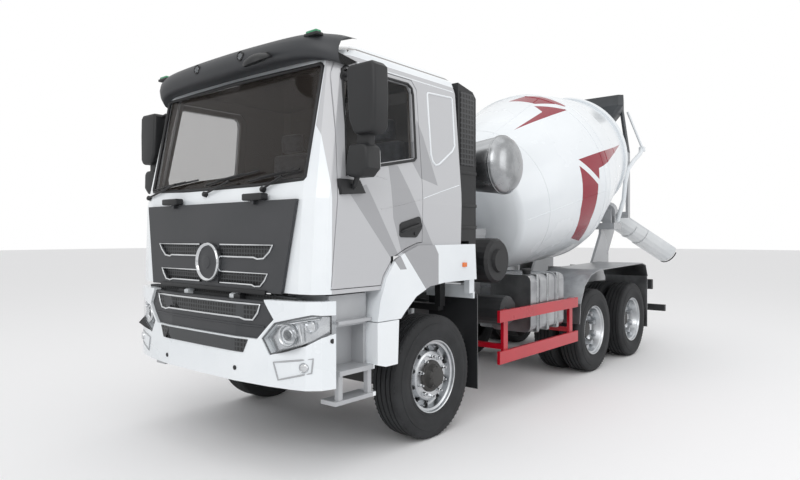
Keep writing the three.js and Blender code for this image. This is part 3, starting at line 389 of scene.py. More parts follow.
def makeMesh(name, color, back, cell=34):
    # honeycomb guard: dark cells in a moulded net, seen as a pattern behind the slots
    material, tree, shader, place = startMaterial(name, color, 0.5)
    cells = addNode(tree, "ShaderNodeTexVoronoi", {"feature": "DISTANCE_TO_EDGE", "Randomness": 0.0,
                                                   "Scale": 1000 / cell}, {"Vector": place})
    net = addNode(tree, "ShaderNodeValToRGB", links={"Fac": cells.outputs[0]})
    net.color_ramp.elements[0].color = linear(color)
    net.color_ramp.elements[0].position = 0.10
    net.color_ramp.elements[1].color = linear(back)
    net.color_ramp.elements[1].position = 0.16
    tree.links.new(net.outputs[0], shader.inputs["Base Color"])
    bump = addNode(tree, "ShaderNodeBump", {"Strength": 1.0, "Distance": 0.008, "invert": True},
                   {"Height": cells.outputs[0]})
    tree.links.new(bump.outputs[0], shader.inputs["Normal"])
    return material


finishes = {
    "white": makeEnamel("enamelWhite", "#e8ecef", "#dde2e6"),
    "twoTone": makeCabEnamel("enamelTwoTone", 1.0),
    "fender": makeCabEnamel("enamelFender", 2.5),
    "drum": makeDrumEnamel(),
    "grey": makeEnamel("enamelGrey", "#a9abae", "#9c9ea1"),
    "chuteWhite": makeEnamel("enamelChute", "#dcdfe1", "#cdd1d4", (0.3, 0.45)),
    "red": makeEnamel("enamelRed", "#b50a22", "#a0081d"),
    "charcoal": makePlastic("mouldedCharcoal", "#38393c", "#303235", (0.42, 0.58)),
    "black": makePlastic("mouldedBlack", "#1d1e20", "#151618", (0.45, 0.65)),
    "dash": makePlastic("mouldedDash", "#4a4642", "#3c3936", (0.6, 0.75)),
    "hopper": makePlastic("enamelHopper", "#45484b", "#3a3d40", (0.4, 0.55), 4),
    "rubber": makeRubber(),
    "alloy": makeMetal("polishedAlloy", "#c9cbcd", "#b3b5b8", (0.16, 0.3)),
    "rimSteel": makeMetal("paintedRim", "#cfd1d3", "#b6b9bc", (0.22, 0.38)),
    "chrome": makeMetal("chromePlate", "#d8dadc", "#c6c8ca", (0.08, 0.16)),
    "stainless": makeMetal("brushedStainless", "#a9abad", "#8f9193", (0.2, 0.34), 3, 0.03,
                           (0.06, 1, 1)),
    "aluminium": makeMetal("rolledAluminium", "#b4b6b8", "#98999c", (0.26, 0.42), 8, 0.08),
    "galvanised": makeMetal("galvanisedSteel", "#a3a6a8", "#8b8e91", (0.4, 0.55), 22, 0.05),
    "chassis": makeChassisPaint(),
    "cast": makeChassisPaint("castIron", "#3b3a39", "#2e2d2c"),
    "screen": makeGlass("laminatedGlass", "#3a3532", 0.02, 0.28),
    "sideGlass": makeGlass("temperedGlass", "#2e3032", 0.02, 0.16),
    "silvered": makeMetal("silveredGlass", "#dadcde", "#d2d4d6", (0.03, 0.05), 40, 0.002),
    "stepEnamel": makeStepEnamel(),
    "darkGlass": makeGlass("darkGlass", "#1c2024", 0.03, 1.0),
    "lens": makeLens("polycarbonateClear", "#dfe5ea", 0.16),
    "amber": makeLens("polycarbonateAmber", "#e2701c", 0.95),
    "green": makeLens("polycarbonateGreen", "#0c8a5a", 0.95),
    "redLens": makeLens("polycarbonateRed", "#b3121c", 0.95),
    "cloth": makeCloth(),
    "net": makeMesh("mouldedNet", "#3a3c3e", "#0e0f10"),
    "snorkelNet": makeMesh("snorkelNet", "#3b3c3e", "#131415", 46),
}

nodeFinish = {
    "white": ["bumper", "discharge_funnel"],
    "twoTone": ["cab_shell", "door_left", "door_right"],
    "fender": ["fender_left", "fender_right"],
    "drum": ["drum"],
    "grey": ["front_pedestal", "rear_pedestal"],
    "stepEnamel": ["step_left", "step_right"],
    "chuteWhite": ["chute", "chute_extension"],
    "red": ["side_guard_left", "side_guard_right"],
    "charcoal": ["front_panel", "sun_visor", "lower_grille"],
    "black": ["mirror_left", "mirror_right", "air_cleaner", "snorkel", "steering_wheel",
              "battery_box"],
    "dash": ["dashboard"],
    "hopper": ["hopper"],
    "rubber": ["front_wheel_left", "front_wheel_right", "twin_wheels_front_left",
               "twin_wheels_front_right", "twin_wheels_rear_left", "twin_wheels_rear_right"],
    "stainless": ["water_tank"],
    "aluminium": ["fuel_tank", "rear_mudguard_left", "rear_mudguard_right"],
    "galvanised": ["ladder"],
    "chassis": ["frame", "rear_suspension", "drive_shaft", "air_tank", "chute_carrier",
                "chute_swing", "rear_bar"],
    "cast": ["front_axle", "knuckle_left", "knuckle_right", "rear_axle_front", "rear_axle_rear",
             "engine"],
    "screen": ["windscreen"],
    "sideGlass": ["door_glass_left", "door_glass_right"],
    "lens": ["headlamp_left", "headlamp_right"],
    "cloth": ["seats"],
}


# pressed and moulded CAD pieces whose edges are rounded, with the width in metres
roundedNodes = {"bumper": 0.006, "fender_left": 0.006, "fender_right": 0.006, "hopper": 0.004,
                "front_panel": 0.003, "fuel_tank": 0.01, "side_guard_left": 0.004,
                "side_guard_right": 0.004}


def roundEdges(piece, width, segments, angle):
    # rounding on every edge sharper than the angle, left live for the caller to keep or apply
    edge = piece.modifiers.new("edges", "BEVEL")
    edge.width = width
    edge.segments = segments
    edge.limit_method = "ANGLE"
    edge.angle_limit = math.radians(angle)
    return edge


def paintNodes():
    # a finish on every CAD node, also on those that finer pieces replace
    for finish, names in nodeFinish.items():
        for name in names:
            mesh = nodes[name].data
            mesh.materials.clear()
            mesh.materials.append(finishes[finish])
    for name, width in roundedNodes.items():
        roundEdges(nodes[name], width, 3, 24)
    print("painted", sum(len(names) for names in nodeFinish.values()), "of", len(nodes), "nodes")


paintNodes()


def settle(piece):
    # moves the piece's place into its mesh
    clearSelection()
    piece.select_set(True)
    bpy.context.view_layer.objects.active = piece
    bpy.ops.object.transform_apply(location=True, rotation=True, scale=True)


def finishPiece(piece, finish, body, bevel=0.0, angle=35, segments=2):
    # edges rounded, shaded, given its finish, and set to ride on its body
    settle(piece)
    if bevel:
        edge = roundEdges(piece, bevel, segments, 30)
        bpy.ops.object.modifier_apply(modifier=edge.name)
    bpy.ops.object.shade_smooth_by_angle(angle=math.radians(angle))
    piece.data.materials.clear()
    piece.data.materials.append(finishes[finish])
    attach(piece, body)
    return piece


def selectAll():
    bpy.ops.mesh.select_all(action="SELECT")


def sketch(name, points, closed=False):
    # a line drawn point by point: one vertex, extruded to each next place
    clearSelection()
    bpy.ops.mesh.primitive_plane_add(size=0.01, location=points[0])
    piece = bpy.context.object
    piece.name = name
    bpy.ops.object.transform_apply(location=True, rotation=True, scale=True)
    bpy.ops.object.mode_set(mode="EDIT")
    bpy.ops.mesh.select_mode(type="VERT")
    selectAll()
    bpy.ops.mesh.merge(type="CENTER")
    for last, here in zip(points, points[1:]):
        step = Vector(here) - Vector(last)
        bpy.ops.mesh.extrude_region_move(TRANSFORM_OT_translate={"value": step})
    if closed:
        bpy.ops.object.mode_set(mode="OBJECT")
        count = len(piece.data.vertices)
        for i, vertex in enumerate(piece.data.vertices):
            vertex.select = i in (0, count - 1)
        bpy.ops.object.mode_set(mode="EDIT")
        bpy.ops.mesh.edge_face_add()
    selectAll()
    return piece


def leaveEdit(outward=True):
    # merges doubles and turns the faces outwards before leaving edit mode
    selectAll()
    bpy.ops.mesh.remove_doubles(threshold=0.00002)
    if outward:
        bpy.ops.mesh.normals_make_consistent(inside=False)
    bpy.ops.object.mode_set(mode="OBJECT")
    return bpy.context.object


def sideAxes(direction):
    # the direction at length one, and a direction square to it
    direction = Vector(direction).normalized()
    side = Vector((1, 0, 0)) if abs(direction.x) < 0.9 else Vector((0, 0, 1))
    across = direction.cross(side).normalized()
    return direction, across


def lathe(name, profile, centre, direction, steps=64, closed=False):
    # profile is (distance along the axis, radius), turned round the axis through centre
    direction, across = sideAxes(direction)
    points = [centre + direction * a + across * max(r, 0.0) for a, r in profile]
    sketch(name, points, closed)
    bpy.ops.mesh.spin(steps=steps, angle=math.tau, center=centre, axis=direction)
    return leaveEdit()


def plate(name, points, thickness):
    # a flat outline filled and pulled out to its thickness
    sketch(name, points, closed=True)
    bpy.ops.mesh.edge_face_add()
    bpy.ops.mesh.extrude_region_move(TRANSFORM_OT_translate={"value": Vector(thickness)})
    return leaveEdit()


def block(name, low, high, taper=0.0):
    # a box between two corners, with its edges taken off by the taper
    clearSelection()
    low, high = Vector(low), Vector(high)
    bpy.ops.mesh.primitive_cube_add(size=1, location=(low + high) / 2, scale=high - low)
    piece = bpy.context.object
    piece.name = name
    bpy.ops.object.transform_apply(location=True, rotation=True, scale=True)
    if taper:
        bpy.ops.object.mode_set(mode="EDIT")
        selectAll()
        bpy.ops.mesh.bevel(offset=taper, segments=3)
        bpy.ops.object.mode_set(mode="OBJECT")
    return piece


def pipe(name, points, radius, cyclic=False, sides=4):
    # a round bar along a line of points, as a mesh
    piece = sketch(name, points, cyclic)
    bpy.ops.object.mode_set(mode="OBJECT")
    bpy.ops.object.convert(target="CURVE")
    piece = bpy.context.object
    piece.data.bevel_depth = radius
    piece.data.bevel_resolution = sides
    piece.data.use_fill_caps = True
    bpy.ops.object.convert(target="MESH")
    piece = bpy.context.object
    piece.name = name
    return piece


def ringOf(piece, count, centre, direction):
    # copies of the piece's mesh set evenly round an axis
    clearSelection()
    piece.select_set(True)
    bpy.context.view_layer.objects.active = piece
    bpy.ops.object.mode_set(mode="EDIT")
    selectAll()
    bpy.ops.mesh.spin(steps=count, angle=math.tau, center=centre, axis=Vector(direction),
                      dupli=True)
    return leaveEdit(False)


def joined(name, pieces):
    # one piece out of several
    clearSelection()
    for piece in pieces:
        piece.select_set(True)
    bpy.context.view_layer.objects.active = pieces[0]
    if len(pieces) > 1:
        bpy.ops.object.join()
    pieces[0].name = name
    return pieces[0]


def copied(piece, name, offset):
    # the same piece moved along, with its own mesh
    twin = piece.copy()
    twin.data = piece.data.copy()
    twin.name = name
    scene.collection.objects.link(twin)
    twin.data.transform(Matrix.Translation(offset))
    return twin


def mirroredCopy(piece, name, body):
    # the same piece on the right side, with its own mesh
    twin = piece.copy()
    twin.data = piece.data.copy()
    twin.name = name
    scene.collection.objects.link(twin)
    clearSelection()
    twin.select_set(True)
    bpy.context.view_layer.objects.active = twin
    bpy.ops.object.mode_set(mode="EDIT")
    selectAll()
    bpy.ops.transform.mirror(constraint_axis=(True, False, False), center_override=(0, 0, 0))
    bpy.ops.mesh.flip_normals()
    bpy.ops.object.mode_set(mode="OBJECT")
    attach(twin, body)
    return twin


def cutBy(piece, cutter):
    # the cutter's shape taken out of the piece
    clearSelection()
    piece.select_set(True)
    bpy.context.view_layer.objects.active = piece
    hole = piece.modifiers.new("holes", "BOOLEAN")
    hole.operation = "DIFFERENCE"
    hole.object = cutter
    hole.solver = "EXACT"
    bpy.ops.object.modifier_apply(modifier=hole.name)
    bpy.data.objects.remove(cutter)
    return piece


drumAxis = Vector(drumJoint["axis"]).normalized()
drumFoot = Vector(drumJoint["pos_m"])
drumShape = {"head": [(-0.170, 0.45), (-0.155, 0.52), (-0.075, 0.742), (-0.035, 0.79),
                      (0.0, 0.816)],
             "shell": [(0.0, 0.816), (0.45, 0.922), (0.456, 0.926), (1.02, 1.056),
                       (1.575, 1.187), (1.73, 1.187), (2.25, 1.087), (2.256, 1.089),
                       (3.035, 0.915), (3.035, 0.945), (3.125, 0.945), (3.125, 0.905),
                       (3.56, 0.56), (3.56, 0.546)],
             "inner": [(3.12, 0.885), (1.73, 1.173), (1.575, 1.173), (0.006, 0.802)],
             "seams": ((0.45, 0.924), (1.575, 1.189), (1.73, 1.189), (2.25, 1.088)),
             "weld": ((0.05, 0.827), (0.45, 0.922), (1.02, 1.056), (1.56, 1.183)),
             "weldTurns": (100, 280, 20, 200)}


def makeDrum():
    # dished front head, double cone of rolled plate, roller ring and open mouth
    shape = drumShape
    profile = [(-0.170, 0.0)] + shape["head"] + shape["shell"][1:] + shape["inner"]
    profile += [(-0.06, 0.73), (-0.156, 0.45), (-0.156, 0.0)]
    shell = lathe("drumShell", profile, drumFoot, drumAxis, 96)
    finishPiece(shell, "drum", "mixer_drum", angle=28)
    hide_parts("drum")
    seams = []
    for place, radius in shape["seams"]:
        rim = [(place - 0.007, radius - 0.006), (place - 0.004, radius + 0.001),
               (place + 0.004, radius + 0.001), (place + 0.007, radius - 0.006)]
        seams.append(lathe("drumSeam", rim, drumFoot, drumAxis, 96, True))
    up = Vector((0, -drumAxis.z, drumAxis.y))
    for turn in shape["weldTurns"]:
        away = Matrix.Rotation(math.radians(turn), 3, drumAxis) @ up
        seams.append(pipe("plateWeld", [drumFoot + drumAxis * s + away * r
                                        for s, r in shape["weld"]], 0.0045, sides=2))
    weld = joined("drumSeams", seams)
    finishPiece(weld, "drum", "mixer_drum")
    hatch = lathe("hatchCover", [(0.0, 0.0), (0.0, 0.23), (0.018, 0.23), (0.03, 0.2),
                                 (0.03, 0.0)], Vector(), (0, 0, 1), 32)
    bolt = lathe("hatchBolt", [(0.02, 0.0), (0.02, 0.014), (0.042, 0.014), (0.042, 0.0)],
                 Vector((0.212, 0, 0)), (0, 0, 1), 6)
    bolts = ringOf(bolt, 10, Vector(), (0, 0, 1))
    hatch = joined("drumHatch", [hatch, bolts])
    out = (Vector((-1, 0, 0)) * 0.94 + up * 0.34).normalized()
    spot = drumFoot + drumAxis * 1.652 + out * 1.178
    hatch.matrix_world = Matrix.Translation(spot) @ out.to_track_quat("Z", "Y").to_matrix().to_4x4()
    finishPiece(hatch, "drum", "mixer_drum", 0.003)
    print("drum modelled")


makeDrum()

tyreShape = {"radius": 0.5205, "half": 0.14, "rim": 0.297,
             "groove": (-0.072, -0.026, 0.026, 0.072), "lugs": 72}


def tyreProfile(shape):
    # bead, sidewall with its mould ribs, shoulder, and a crown with four grooves
    half, top, bead = shape["half"], shape["radius"], shape["rim"]
    side = [(0.100, bead), (0.118, bead + 0.008), (0.121, bead + 0.030), (0.119, bead + 0.034),
            (half - 0.004, bead + 0.085), (half, bead + 0.115), (half - 0.001, bead + 0.118),
            (half - 0.001, bead + 0.150), (half - 0.007, bead + 0.155), (half - 0.010, top - 0.045),
            (half - 0.019, top - 0.016), (half - 0.032, top - 0.003)]
    crown = []
    for place in reversed(shape["groove"]):
        crown += [(place + 0.007, top), (place + 0.005, top - 0.014), (place - 0.005, top - 0.014),
                  (place - 0.007, top)]
    back = [(-a, r) for a, r in reversed(side)]
    inside = [(-0.085, bead + 0.01), (-0.11, bead + 0.12), (-0.09, top - 0.03),
              (0.09, top - 0.03), (0.11, bead + 0.12), (0.085, bead + 0.01)]
    return side + crown + back + inside


def makeTyre(name, centre):
    # turned carcass with a ring of shoulder lugs on both sides
    body = lathe(name, tyreProfile(tyreShape), centre, (1, 0, 0), 112, True)
    low = Vector((0.106, -0.008, tyreShape["radius"] - 0.050))
    lug = block("lug", centre + low, centre + low + Vector((0.015, 0.013, 0.042)))
    other = block("lugInner", centre + Vector((-0.121, -0.008, low.z)),
                  centre + Vector((-0.106, 0.005, low.z + 0.042)))
    lugs = ringOf(joined("lugs", [lug, other]), tyreShape["lugs"], centre, (1, 0, 0))
    return joined(name, [body, lugs])


rimShape = {"front": [(0.118, 0.296), (0.122, 0.305), (0.112, 0.309), (0.100, 0.297),
                      (0.092, 0.272), (0.040, 0.262), (0.028, 0.250), (0.036, 0.226),
                      (0.074, 0.205), (0.083, 0.190), (0.083, 0.120), (0.071, 0.120),
                      (0.071, 0.186), (0.060, 0.197), (0.020, 0.220), (0.012, 0.250),
                      (0.020, 0.272), (-0.10, 0.276), (-0.114, 0.300), (-0.120, 0.300),
                      (-0.108, 0.288), (0.088, 0.288)],
            "dish": [(0.030, 0.296), (0.034, 0.305), (0.024, 0.309), (0.012, 0.297),
                     (0.004, 0.272), (-0.115, 0.262), (-0.135, 0.240), (-0.150, 0.200),
                     (-0.152, 0.120), (-0.164, 0.120), (-0.164, 0.206), (-0.148, 0.248),
                     (-0.125, 0.272), (-0.05, 0.276), (-0.05, 0.288), (0.0, 0.288)],
            "holes": 10}


def makeRim(name, centre, profile, holeRadius, holeReach, depth):
    # pressed disc wheel: drop centre, hand holes round the disc
    rim = lathe(name, profile, centre, (1, 0, 0), 96, True)
    cutter = lathe("holeCutter", [(depth - 0.10, 0.0), (depth - 0.10, holeRadius),
                                  (depth + 0.10, holeRadius), (depth + 0.10, 0.0)],
                   centre + Vector((0, 0, holeReach)), (1, 0, 0), 20)
    cutters = ringOf(cutter, rimShape["holes"], centre, (1, 0, 0))
    return cutBy(rim, cutters)


def nutRing(name, centre, face, reach, length, count):
    # wheel nuts on their studs, standing on the disc's face
    nut = lathe("nut", [(face - 0.004, 0.0), (face - 0.004, 0.021), (face + 0.003, 0.021),
                        (face + 0.003, 0.0165), (face + length * 0.55, 0.0155),
                        (face + length * 0.6, 0.010), (face + length, 0.009),
                        (face + length, 0.0)], centre + Vector((0, 0, reach)), (1, 0, 0), 6)
    ring = ringOf(nut, count, centre, (1, 0, 0))
    ring.name = name
    return ring


def makeFrontWheel():
    # tyre, disc wheel, nuts and hub with its brake drum, mirrored to the right side
    centre = at(1.06, 0, hubHeight)
    tyre = makeTyre("frontTyreLeft", centre)
    finishPiece(tyre, "rubber", "front_left_wheel", angle=32)
    rim = makeRim("frontRimLeft", centre, rimShape["front"], 0.031, 0.236, 0.03)
    finishPiece(rim, "rimSteel", "front_left_wheel", 0.002, 30)
    nuts = nutRing("frontNutsLeft", centre, 0.083, 0.168, 0.05, 10)
    finishPiece(nuts, "chrome", "front_left_wheel", angle=25)
    hub = lathe("frontHubLeft", [(-0.08, 0.0), (-0.08, 0.232), (-0.012, 0.232), (-0.004, 0.222),
                                 (-0.004, 0.15), (0.068, 0.15), (0.068, 0.138),
                                 (0.10, 0.132), (0.10, 0.105), (0.120, 0.098), (0.148, 0.092),
                                 (0.156, 0.082), (0.165, 0.076), (0.165, 0.0)], centre,
                (1, 0, 0), 48)
    bolt = lathe("hubBolt", [(0.12, 0.0), (0.12, 0.010), (0.158, 0.010), (0.158, 0.0)],
                 centre + Vector((0, 0, 0.086)), (1, 0, 0), 6)
    hub = joined("frontHubLeft", [hub, ringOf(bolt, 8, centre, (1, 0, 0))])
    finishPiece(hub, "cast", "front_left_wheel", 0.0015, 30)
    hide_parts("front_wheel_left")
    for piece, name, slotName in ((tyre, "frontTyreRight", "tyre_rubber"),
                                  (rim, "frontRimRight", "aluminium"),
                                  (nuts, "frontNutsRight", "stainless"),
                                  (hub, "frontHubRight", "cast_iron")):
        mirroredCopy(piece, name, "front_right_wheel")
    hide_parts("front_wheel_right")
    print("front wheels modelled")


def makeTwins():
    # two tyres on one hub, copied to the second axle and mirrored to the right side
    centre = at(0.89, twinAxles["first"], hubHeight)
    outer, inner = centre + Vector((0.17, 0, 0)), centre - Vector((0.17, 0, 0))
    tyres = joined("twinTyresFirstLeft", [makeTyre("outerTyre", outer),
                                          makeTyre("innerTyre", inner)])
    finishPiece(tyres, "rubber", "first_left_twins", angle=32)
    rim = makeRim("outerRim", outer + Vector((0.086, 0, 0)), rimShape["dish"], 0.031, 0.222,
                  -0.15)
    band = lathe("twinBand", [(-0.30, 0.276), (-0.30, 0.300), (-0.27, 0.288), (0.05, 0.288),
                              (0.05, 0.276)], outer, (1, 0, 0), 64, True)
    rims = joined("twinRimsFirstLeft", [rim, band])
    finishPiece(rims, "rimSteel", "first_left_twins", 0.002, 30)
    hub = lathe("twinHubFirstLeft", [(-0.30, 0.0), (-0.30, 0.16), (-0.08, 0.16), (-0.08, 0.135),
                                     (-0.02, 0.130), (-0.02, 0.118), (0.0, 0.112),
                                     (0.0, 0.098), (0.020, 0.090), (0.020, 0.0)], outer,
                (1, 0, 0), 48)
    bolt = lathe("twinBolt", [(-0.01, 0.0), (-0.01, 0.009), (0.012, 0.009), (0.012, 0.0)],
                 outer + Vector((0, 0, 0.105)), (1, 0, 0), 6)
    hub = joined("twinHubFirstLeft", [hub, ringOf(bolt, 8, outer, (1, 0, 0))])
    finishPiece(hub, "cast", "first_left_twins", 0.0015, 30)
    nuts = nutRing("twinNutsFirstLeft", outer, -0.064, 0.168, 0.05, 10)
    finishPiece(nuts, "chrome", "first_left_twins", angle=25)
    parts = ((tyres, "twinTyres", "tyre_rubber"), (rims, "twinRims", "aluminium"),
             (hub, "twinHub", "cast_iron"), (nuts, "twinNuts", "stainless"))
    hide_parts("twin_wheels_front_left")
    for piece, name, slotName in parts:
        second = copied(piece, name + "SecondLeft", (0, twinAxles["apart"], 0))
        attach(second, "second_left_twins")
        mirroredCopy(piece, name + "FirstRight", "first_right_twins")
        mirroredCopy(second, name + "SecondRight", "second_right_twins")
    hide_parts("twin_wheels_rear_left")
    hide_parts("twin_wheels_front_right")
    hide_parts("twin_wheels_rear_right")
    print("twin wheels modelled")


makeFrontWheel()
makeTwins()

tankShape = {"middle": at(0, 1.22, 2.43), "half": 1.272, "radius": 0.298}


def makeWaterTank():
    # polished cylinder with dished heads, two rolled bands and a filler
    middle, half, radius = tankShape["middle"], tankShape["half"], tankShape["radius"]
    dome = [(half, 0.0), (half - 0.004, 0.09), (half - 0.016, 0.165), (half - 0.036, 0.222),
            (half - 0.062, 0.258), (half - 0.090, 0.275), (half - 0.112, radius - 0.003)]
    back = [(-a, r) for a, r in reversed(dome)]
    tank = lathe("waterTank", back + dome[::-1], middle, (1, 0, 0), 80)
    finishPiece(tank, "stainless", "chassis", angle=50)
    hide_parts("water_tank")
    bands = []
    for place in (-1.128, -0.6, 0.6, 1.128):
        bands.append(lathe("tankBand", [(place - 0.012, radius - 0.006),
                                        (place - 0.009, radius), (place + 0.009, radius),
                                        (place + 0.012, radius - 0.006)], middle, (1, 0, 0),
                           80, True))
    cap = lathe("tankFiller", [(0.262, 0.0), (0.262, 0.075), (0.292, 0.075), (0.292, 0.095),
                               (0.308, 0.095), (0.316, 0.085), (0.316, 0.0)],
                middle + Vector((0.35, 0, 0)), (0, 0, 1), 32)
    finishPiece(joined("tankBands", bands + [cap]), "stainless", "chassis", 0.001)
    print("water tank modelled")


makeWaterTank()

cleanerShape = {"middle": at(0, 1.15, 1.47)}


def makeAirCleaner():
    # moulded canister with a ribbed cover and clips
    middle = cleanerShape["middle"]
    profile = [(0.62, 0.0), (0.62, 0.17), (0.64, 0.19), (0.70, 0.198)]
    for place in (0.74, 0.80, 0.86):
        profile += [(place, 0.198), (place + 0.006, 0.206), (place + 0.02, 0.206),
                    (place + 0.026, 0.198)]
    profile += [(0.93, 0.198), (0.935, 0.222), (0.965, 0.222), (0.97, 0.212), (1.07, 0.205),
                (1.10, 0.190), (1.11, 0.165), (1.095, 0.150), (1.095, 0.115), (1.12, 0.105),
                (1.128, 0.085), (1.128, 0.0)]
    body = lathe("airCleaner", profile, middle, (1, 0, 0), 56)
    rib = block("coverRib", middle + Vector((1.092, -0.005, 0.112)),
                middle + Vector((1.108, 0.005, 0.160)))
    ribs = ringOf(rib, 16, middle, (1, 0, 0))
    clip = block("coverClip", middle + Vector((0.90, -0.02, 0.205)),
                 middle + Vector((1.0, 0.02, 0.224)))
    clips = ringOf(clip, 5, middle, (1, 0, 0))
    finishPiece(joined("airCleanerCan", [body, ribs, clips]), "black", "chassis",
                0.002)
    print("air cleaner modelled")


makeAirCleaner()


def onSurface(name, point, direction, lift=0.0):
    # where a line from the point first meets a CAD piece, lifted back towards its start
    direction = Vector(direction).normalized()
    found, spot = nodes[name].ray_cast(point - direction * 1.5, direction)[:2]
    return (spot if found else point) - direction * lift


frontward = Vector((0, 1, 0))
lidShape = {"slots": [[(0.135, 1.650), (0.772, 1.650), (0.735, 1.600), (0.672, 1.552),
                       (0.60, 1.546), (0.56, 1.557), (0.135, 1.557)],
                      [(0.135, 1.441), (0.722, 1.441), (0.690, 1.392), (0.645, 1.348),
                       (0.58, 1.342), (0.54, 1.353), (0.135, 1.353)]],
            "net": ((-0.80, -1.3815, 1.335), (0.80, -1.3755, 1.665)), "boss": (0, 1.51),
            "lip": ((-0.72, -1.4225, 1.290), (0.72, -1.405, 1.320)),
            "cover": (0.57, -1.405, 2.005)}


def makeLidTrim():
    # bright U-shaped surrounds, honeycomb net behind the slots, lower lip and hinge covers
    trims = []
    for slotOutline in lidShape["slots"]:
        for side in (-1, 1):
            path = [onSurface("front_panel", at(side * (x + 0.006), -1.4, z), frontward, 0.002)
                    for x, z in slotOutline]
            path = [Vector((p.x, min(p.y, at(0, -1.395, 0).y), p.z)) for p in path]
            trims.append(pipe("slotTrim", path, 0.0085, sides=3))
    finishPiece(joined("lidTrims", trims), "chrome", "front_lid", angle=60)
    low, high = lidShape["net"]
    net = block("lidNet", at(*low), at(*high))
    finishPiece(net, "net", "front_lid", 0.001)
    lip = block("lidLip", *[at(*corner) for corner in lidShape["lip"]])
    finishPiece(lip, "black", "front_lid", 0.001)
    covers = []
    x, y, z = lidShape["cover"]
    for side in (-1, 1):
        middle = at(side * x, y, z)
        cover = block("hingeCover", middle - Vector((0.115, 0.030, 0.026)),
                      middle + Vector((0.115, 0.045, 0.026)), 0.012)
        covers.append(cover)
    finishPiece(joined("lidHingeCovers", covers), "black", "cab", 0.003)
    print("front lid trimmed")


def makeLidBoss():
    # plain round boss in the lid's middle: bright ring round a dark dish
    x, z = lidShape["boss"]
    centre = onSurface("front_panel", at(x, -1.4, z), frontward)
    boss = lathe("lidBoss", [(0.0, 0.0), (0.0, 0.150), (0.022, 0.158), (0.040, 0.155),
                             (0.046, 0.146), (0.042, 0.136), (0.030, 0.130), (0.026, 0.120),
                             (0.036, 0.060), (0.042, 0.0)], centre, (0, -1, 0), 64)
    finishPiece(boss, "chrome", "front_lid", angle=50)
    dish = lathe("lidBossDish", [(0.026, 0.0), (0.026, 0.134), (0.0305, 0.131), (0.0275, 0.120),
                                 (0.040, 0.052), (0.044, 0.050), (0.047, 0.030), (0.047, 0.0)],
                 centre, (0, -1, 0), 64)
    finishPiece(dish, "charcoal", "front_lid", angle=40)
    print("front lid's boss modelled")


makeLidTrim()
makeLidBoss()

grilleShape = {"top": 1.222, "bottom": 1.112, "reach": 0.700, "foot": 0.610,
               "backing": ((-0.70, -1.372, 0.86), (0.70, -1.364, 1.262)),
               "shadowStrip": ((-1.0, -1.362, 1.215), (1.0, -1.300, 1.282)),
               "ledges": (1.238, 1.065), "ledgeReach": 0.74}


def surfaceStrip(name, node, rows, lift, thickness):
    # a thin skin laid over a CAD piece: rows of points found on its surface, front to back
    piece = sketch(name, [onSurface(node, p, frontward, lift) for p in rows[0]])
    bpy.ops.object.mode_set(mode="OBJECT")
    mesh = piece.data
    below = [onSurface(node, p, frontward, lift) for p in rows[1]]
    count = len(rows[0])
    bpy.ops.object.mode_set(mode="EDIT")
    selectAll()
    bpy.ops.mesh.extrude_region_move(TRANSFORM_OT_translate={"value": (0, 0, -0.01)})
    bpy.ops.object.mode_set(mode="OBJECT")
    for i, spot in enumerate(below):
        mesh.vertices[count + i].co = spot
    bpy.ops.object.mode_set(mode="EDIT")
    selectAll()
    bpy.ops.mesh.extrude_region_move(TRANSFORM_OT_translate={"value": (0, thickness, 0)})
    return leaveEdit()


def makeLowerGrille():
    # net let into the bumper's dark panel, its bright surround and ledges, what backs them, and a
    # dark strip that paints the shadow in the gap under the lid
    shape = grilleShape
    steps = 12
    places = [2 * i / steps - 1 for i in range(steps + 1)]
    rows = [[at(t * shape["reach"], -1.5, shape["top"]) for t in places],
            [at(t * shape["foot"], -1.5, shape["bottom"]) for t in places]]
    net = surfaceStrip("lowerNet", "lower_grille", rows, 0.003, 0.02)
    finishPiece(net, "net", "chassis")
    outline = [(t * shape["reach"], shape["top"]) for t in places]
    outline += [(shape["reach"] - 0.025, 1.160), (shape["foot"] + 0.02, shape["bottom"] - 0.004),
                (shape["foot"] - 0.06, shape["bottom"] - 0.008), (0.49, shape["bottom"] + 0.004)]
    outline += [(t * 0.49, shape["bottom"] + 0.004) for t in (0.5, 0, -0.5)]
    outline += [(-0.49, shape["bottom"] + 0.004), (0.06 - shape["foot"], shape["bottom"] - 0.008),
                (-0.02 - shape["foot"], shape["bottom"] - 0.004), (0.025 - shape["reach"], 1.160)]
    path = [onSurface("lower_grille", at(x, -1.5, z), frontward, 0.004) for x, z in outline]
    trim = pipe("lowerTrim", path, 0.0085, True, 3)
    finishPiece(trim, "chrome", "chassis", angle=60)
    backing = block("ventNet", *[at(*corner) for corner in shape["backing"]])
    # dark strip across the gap between bumper and lid: painted shadow of the gap
    shadowStrip = block("paintedGapShadow", *[at(*corner) for corner in shape["shadowStrip"]])
    finishPiece(joined("bumperBackingAndShadowGap", [backing, shadowStrip]), "net", "chassis")
    edges = []
    for z in shape["ledges"]:
        line = [onSurface("lower_grille", at(t * shape["ledgeReach"], -1.5, z), frontward, 0.001)
                for t in places]
        edges.append(pipe("grilleEdge", line, 0.008, sides=3))
    finishPiece(joined("grilleEdges", edges), "charcoal", "chassis", angle=60)
    print("lower grille trimmed")


makeLowerGrille()

bumperShape = {"sensors": [(-0.486, 0.723), (0.462, 0.745)],
               "fog": [(0.849, 0.827), (1.148, 0.871), (1.14, 0.773), (0.89, 0.707)],
               "fogLamp": (1.095, 0.808), "sideSensor": (1.0, -1.222, 0.985),
               "vent": ((0.60, 0.964), (0.55, 0.868))}


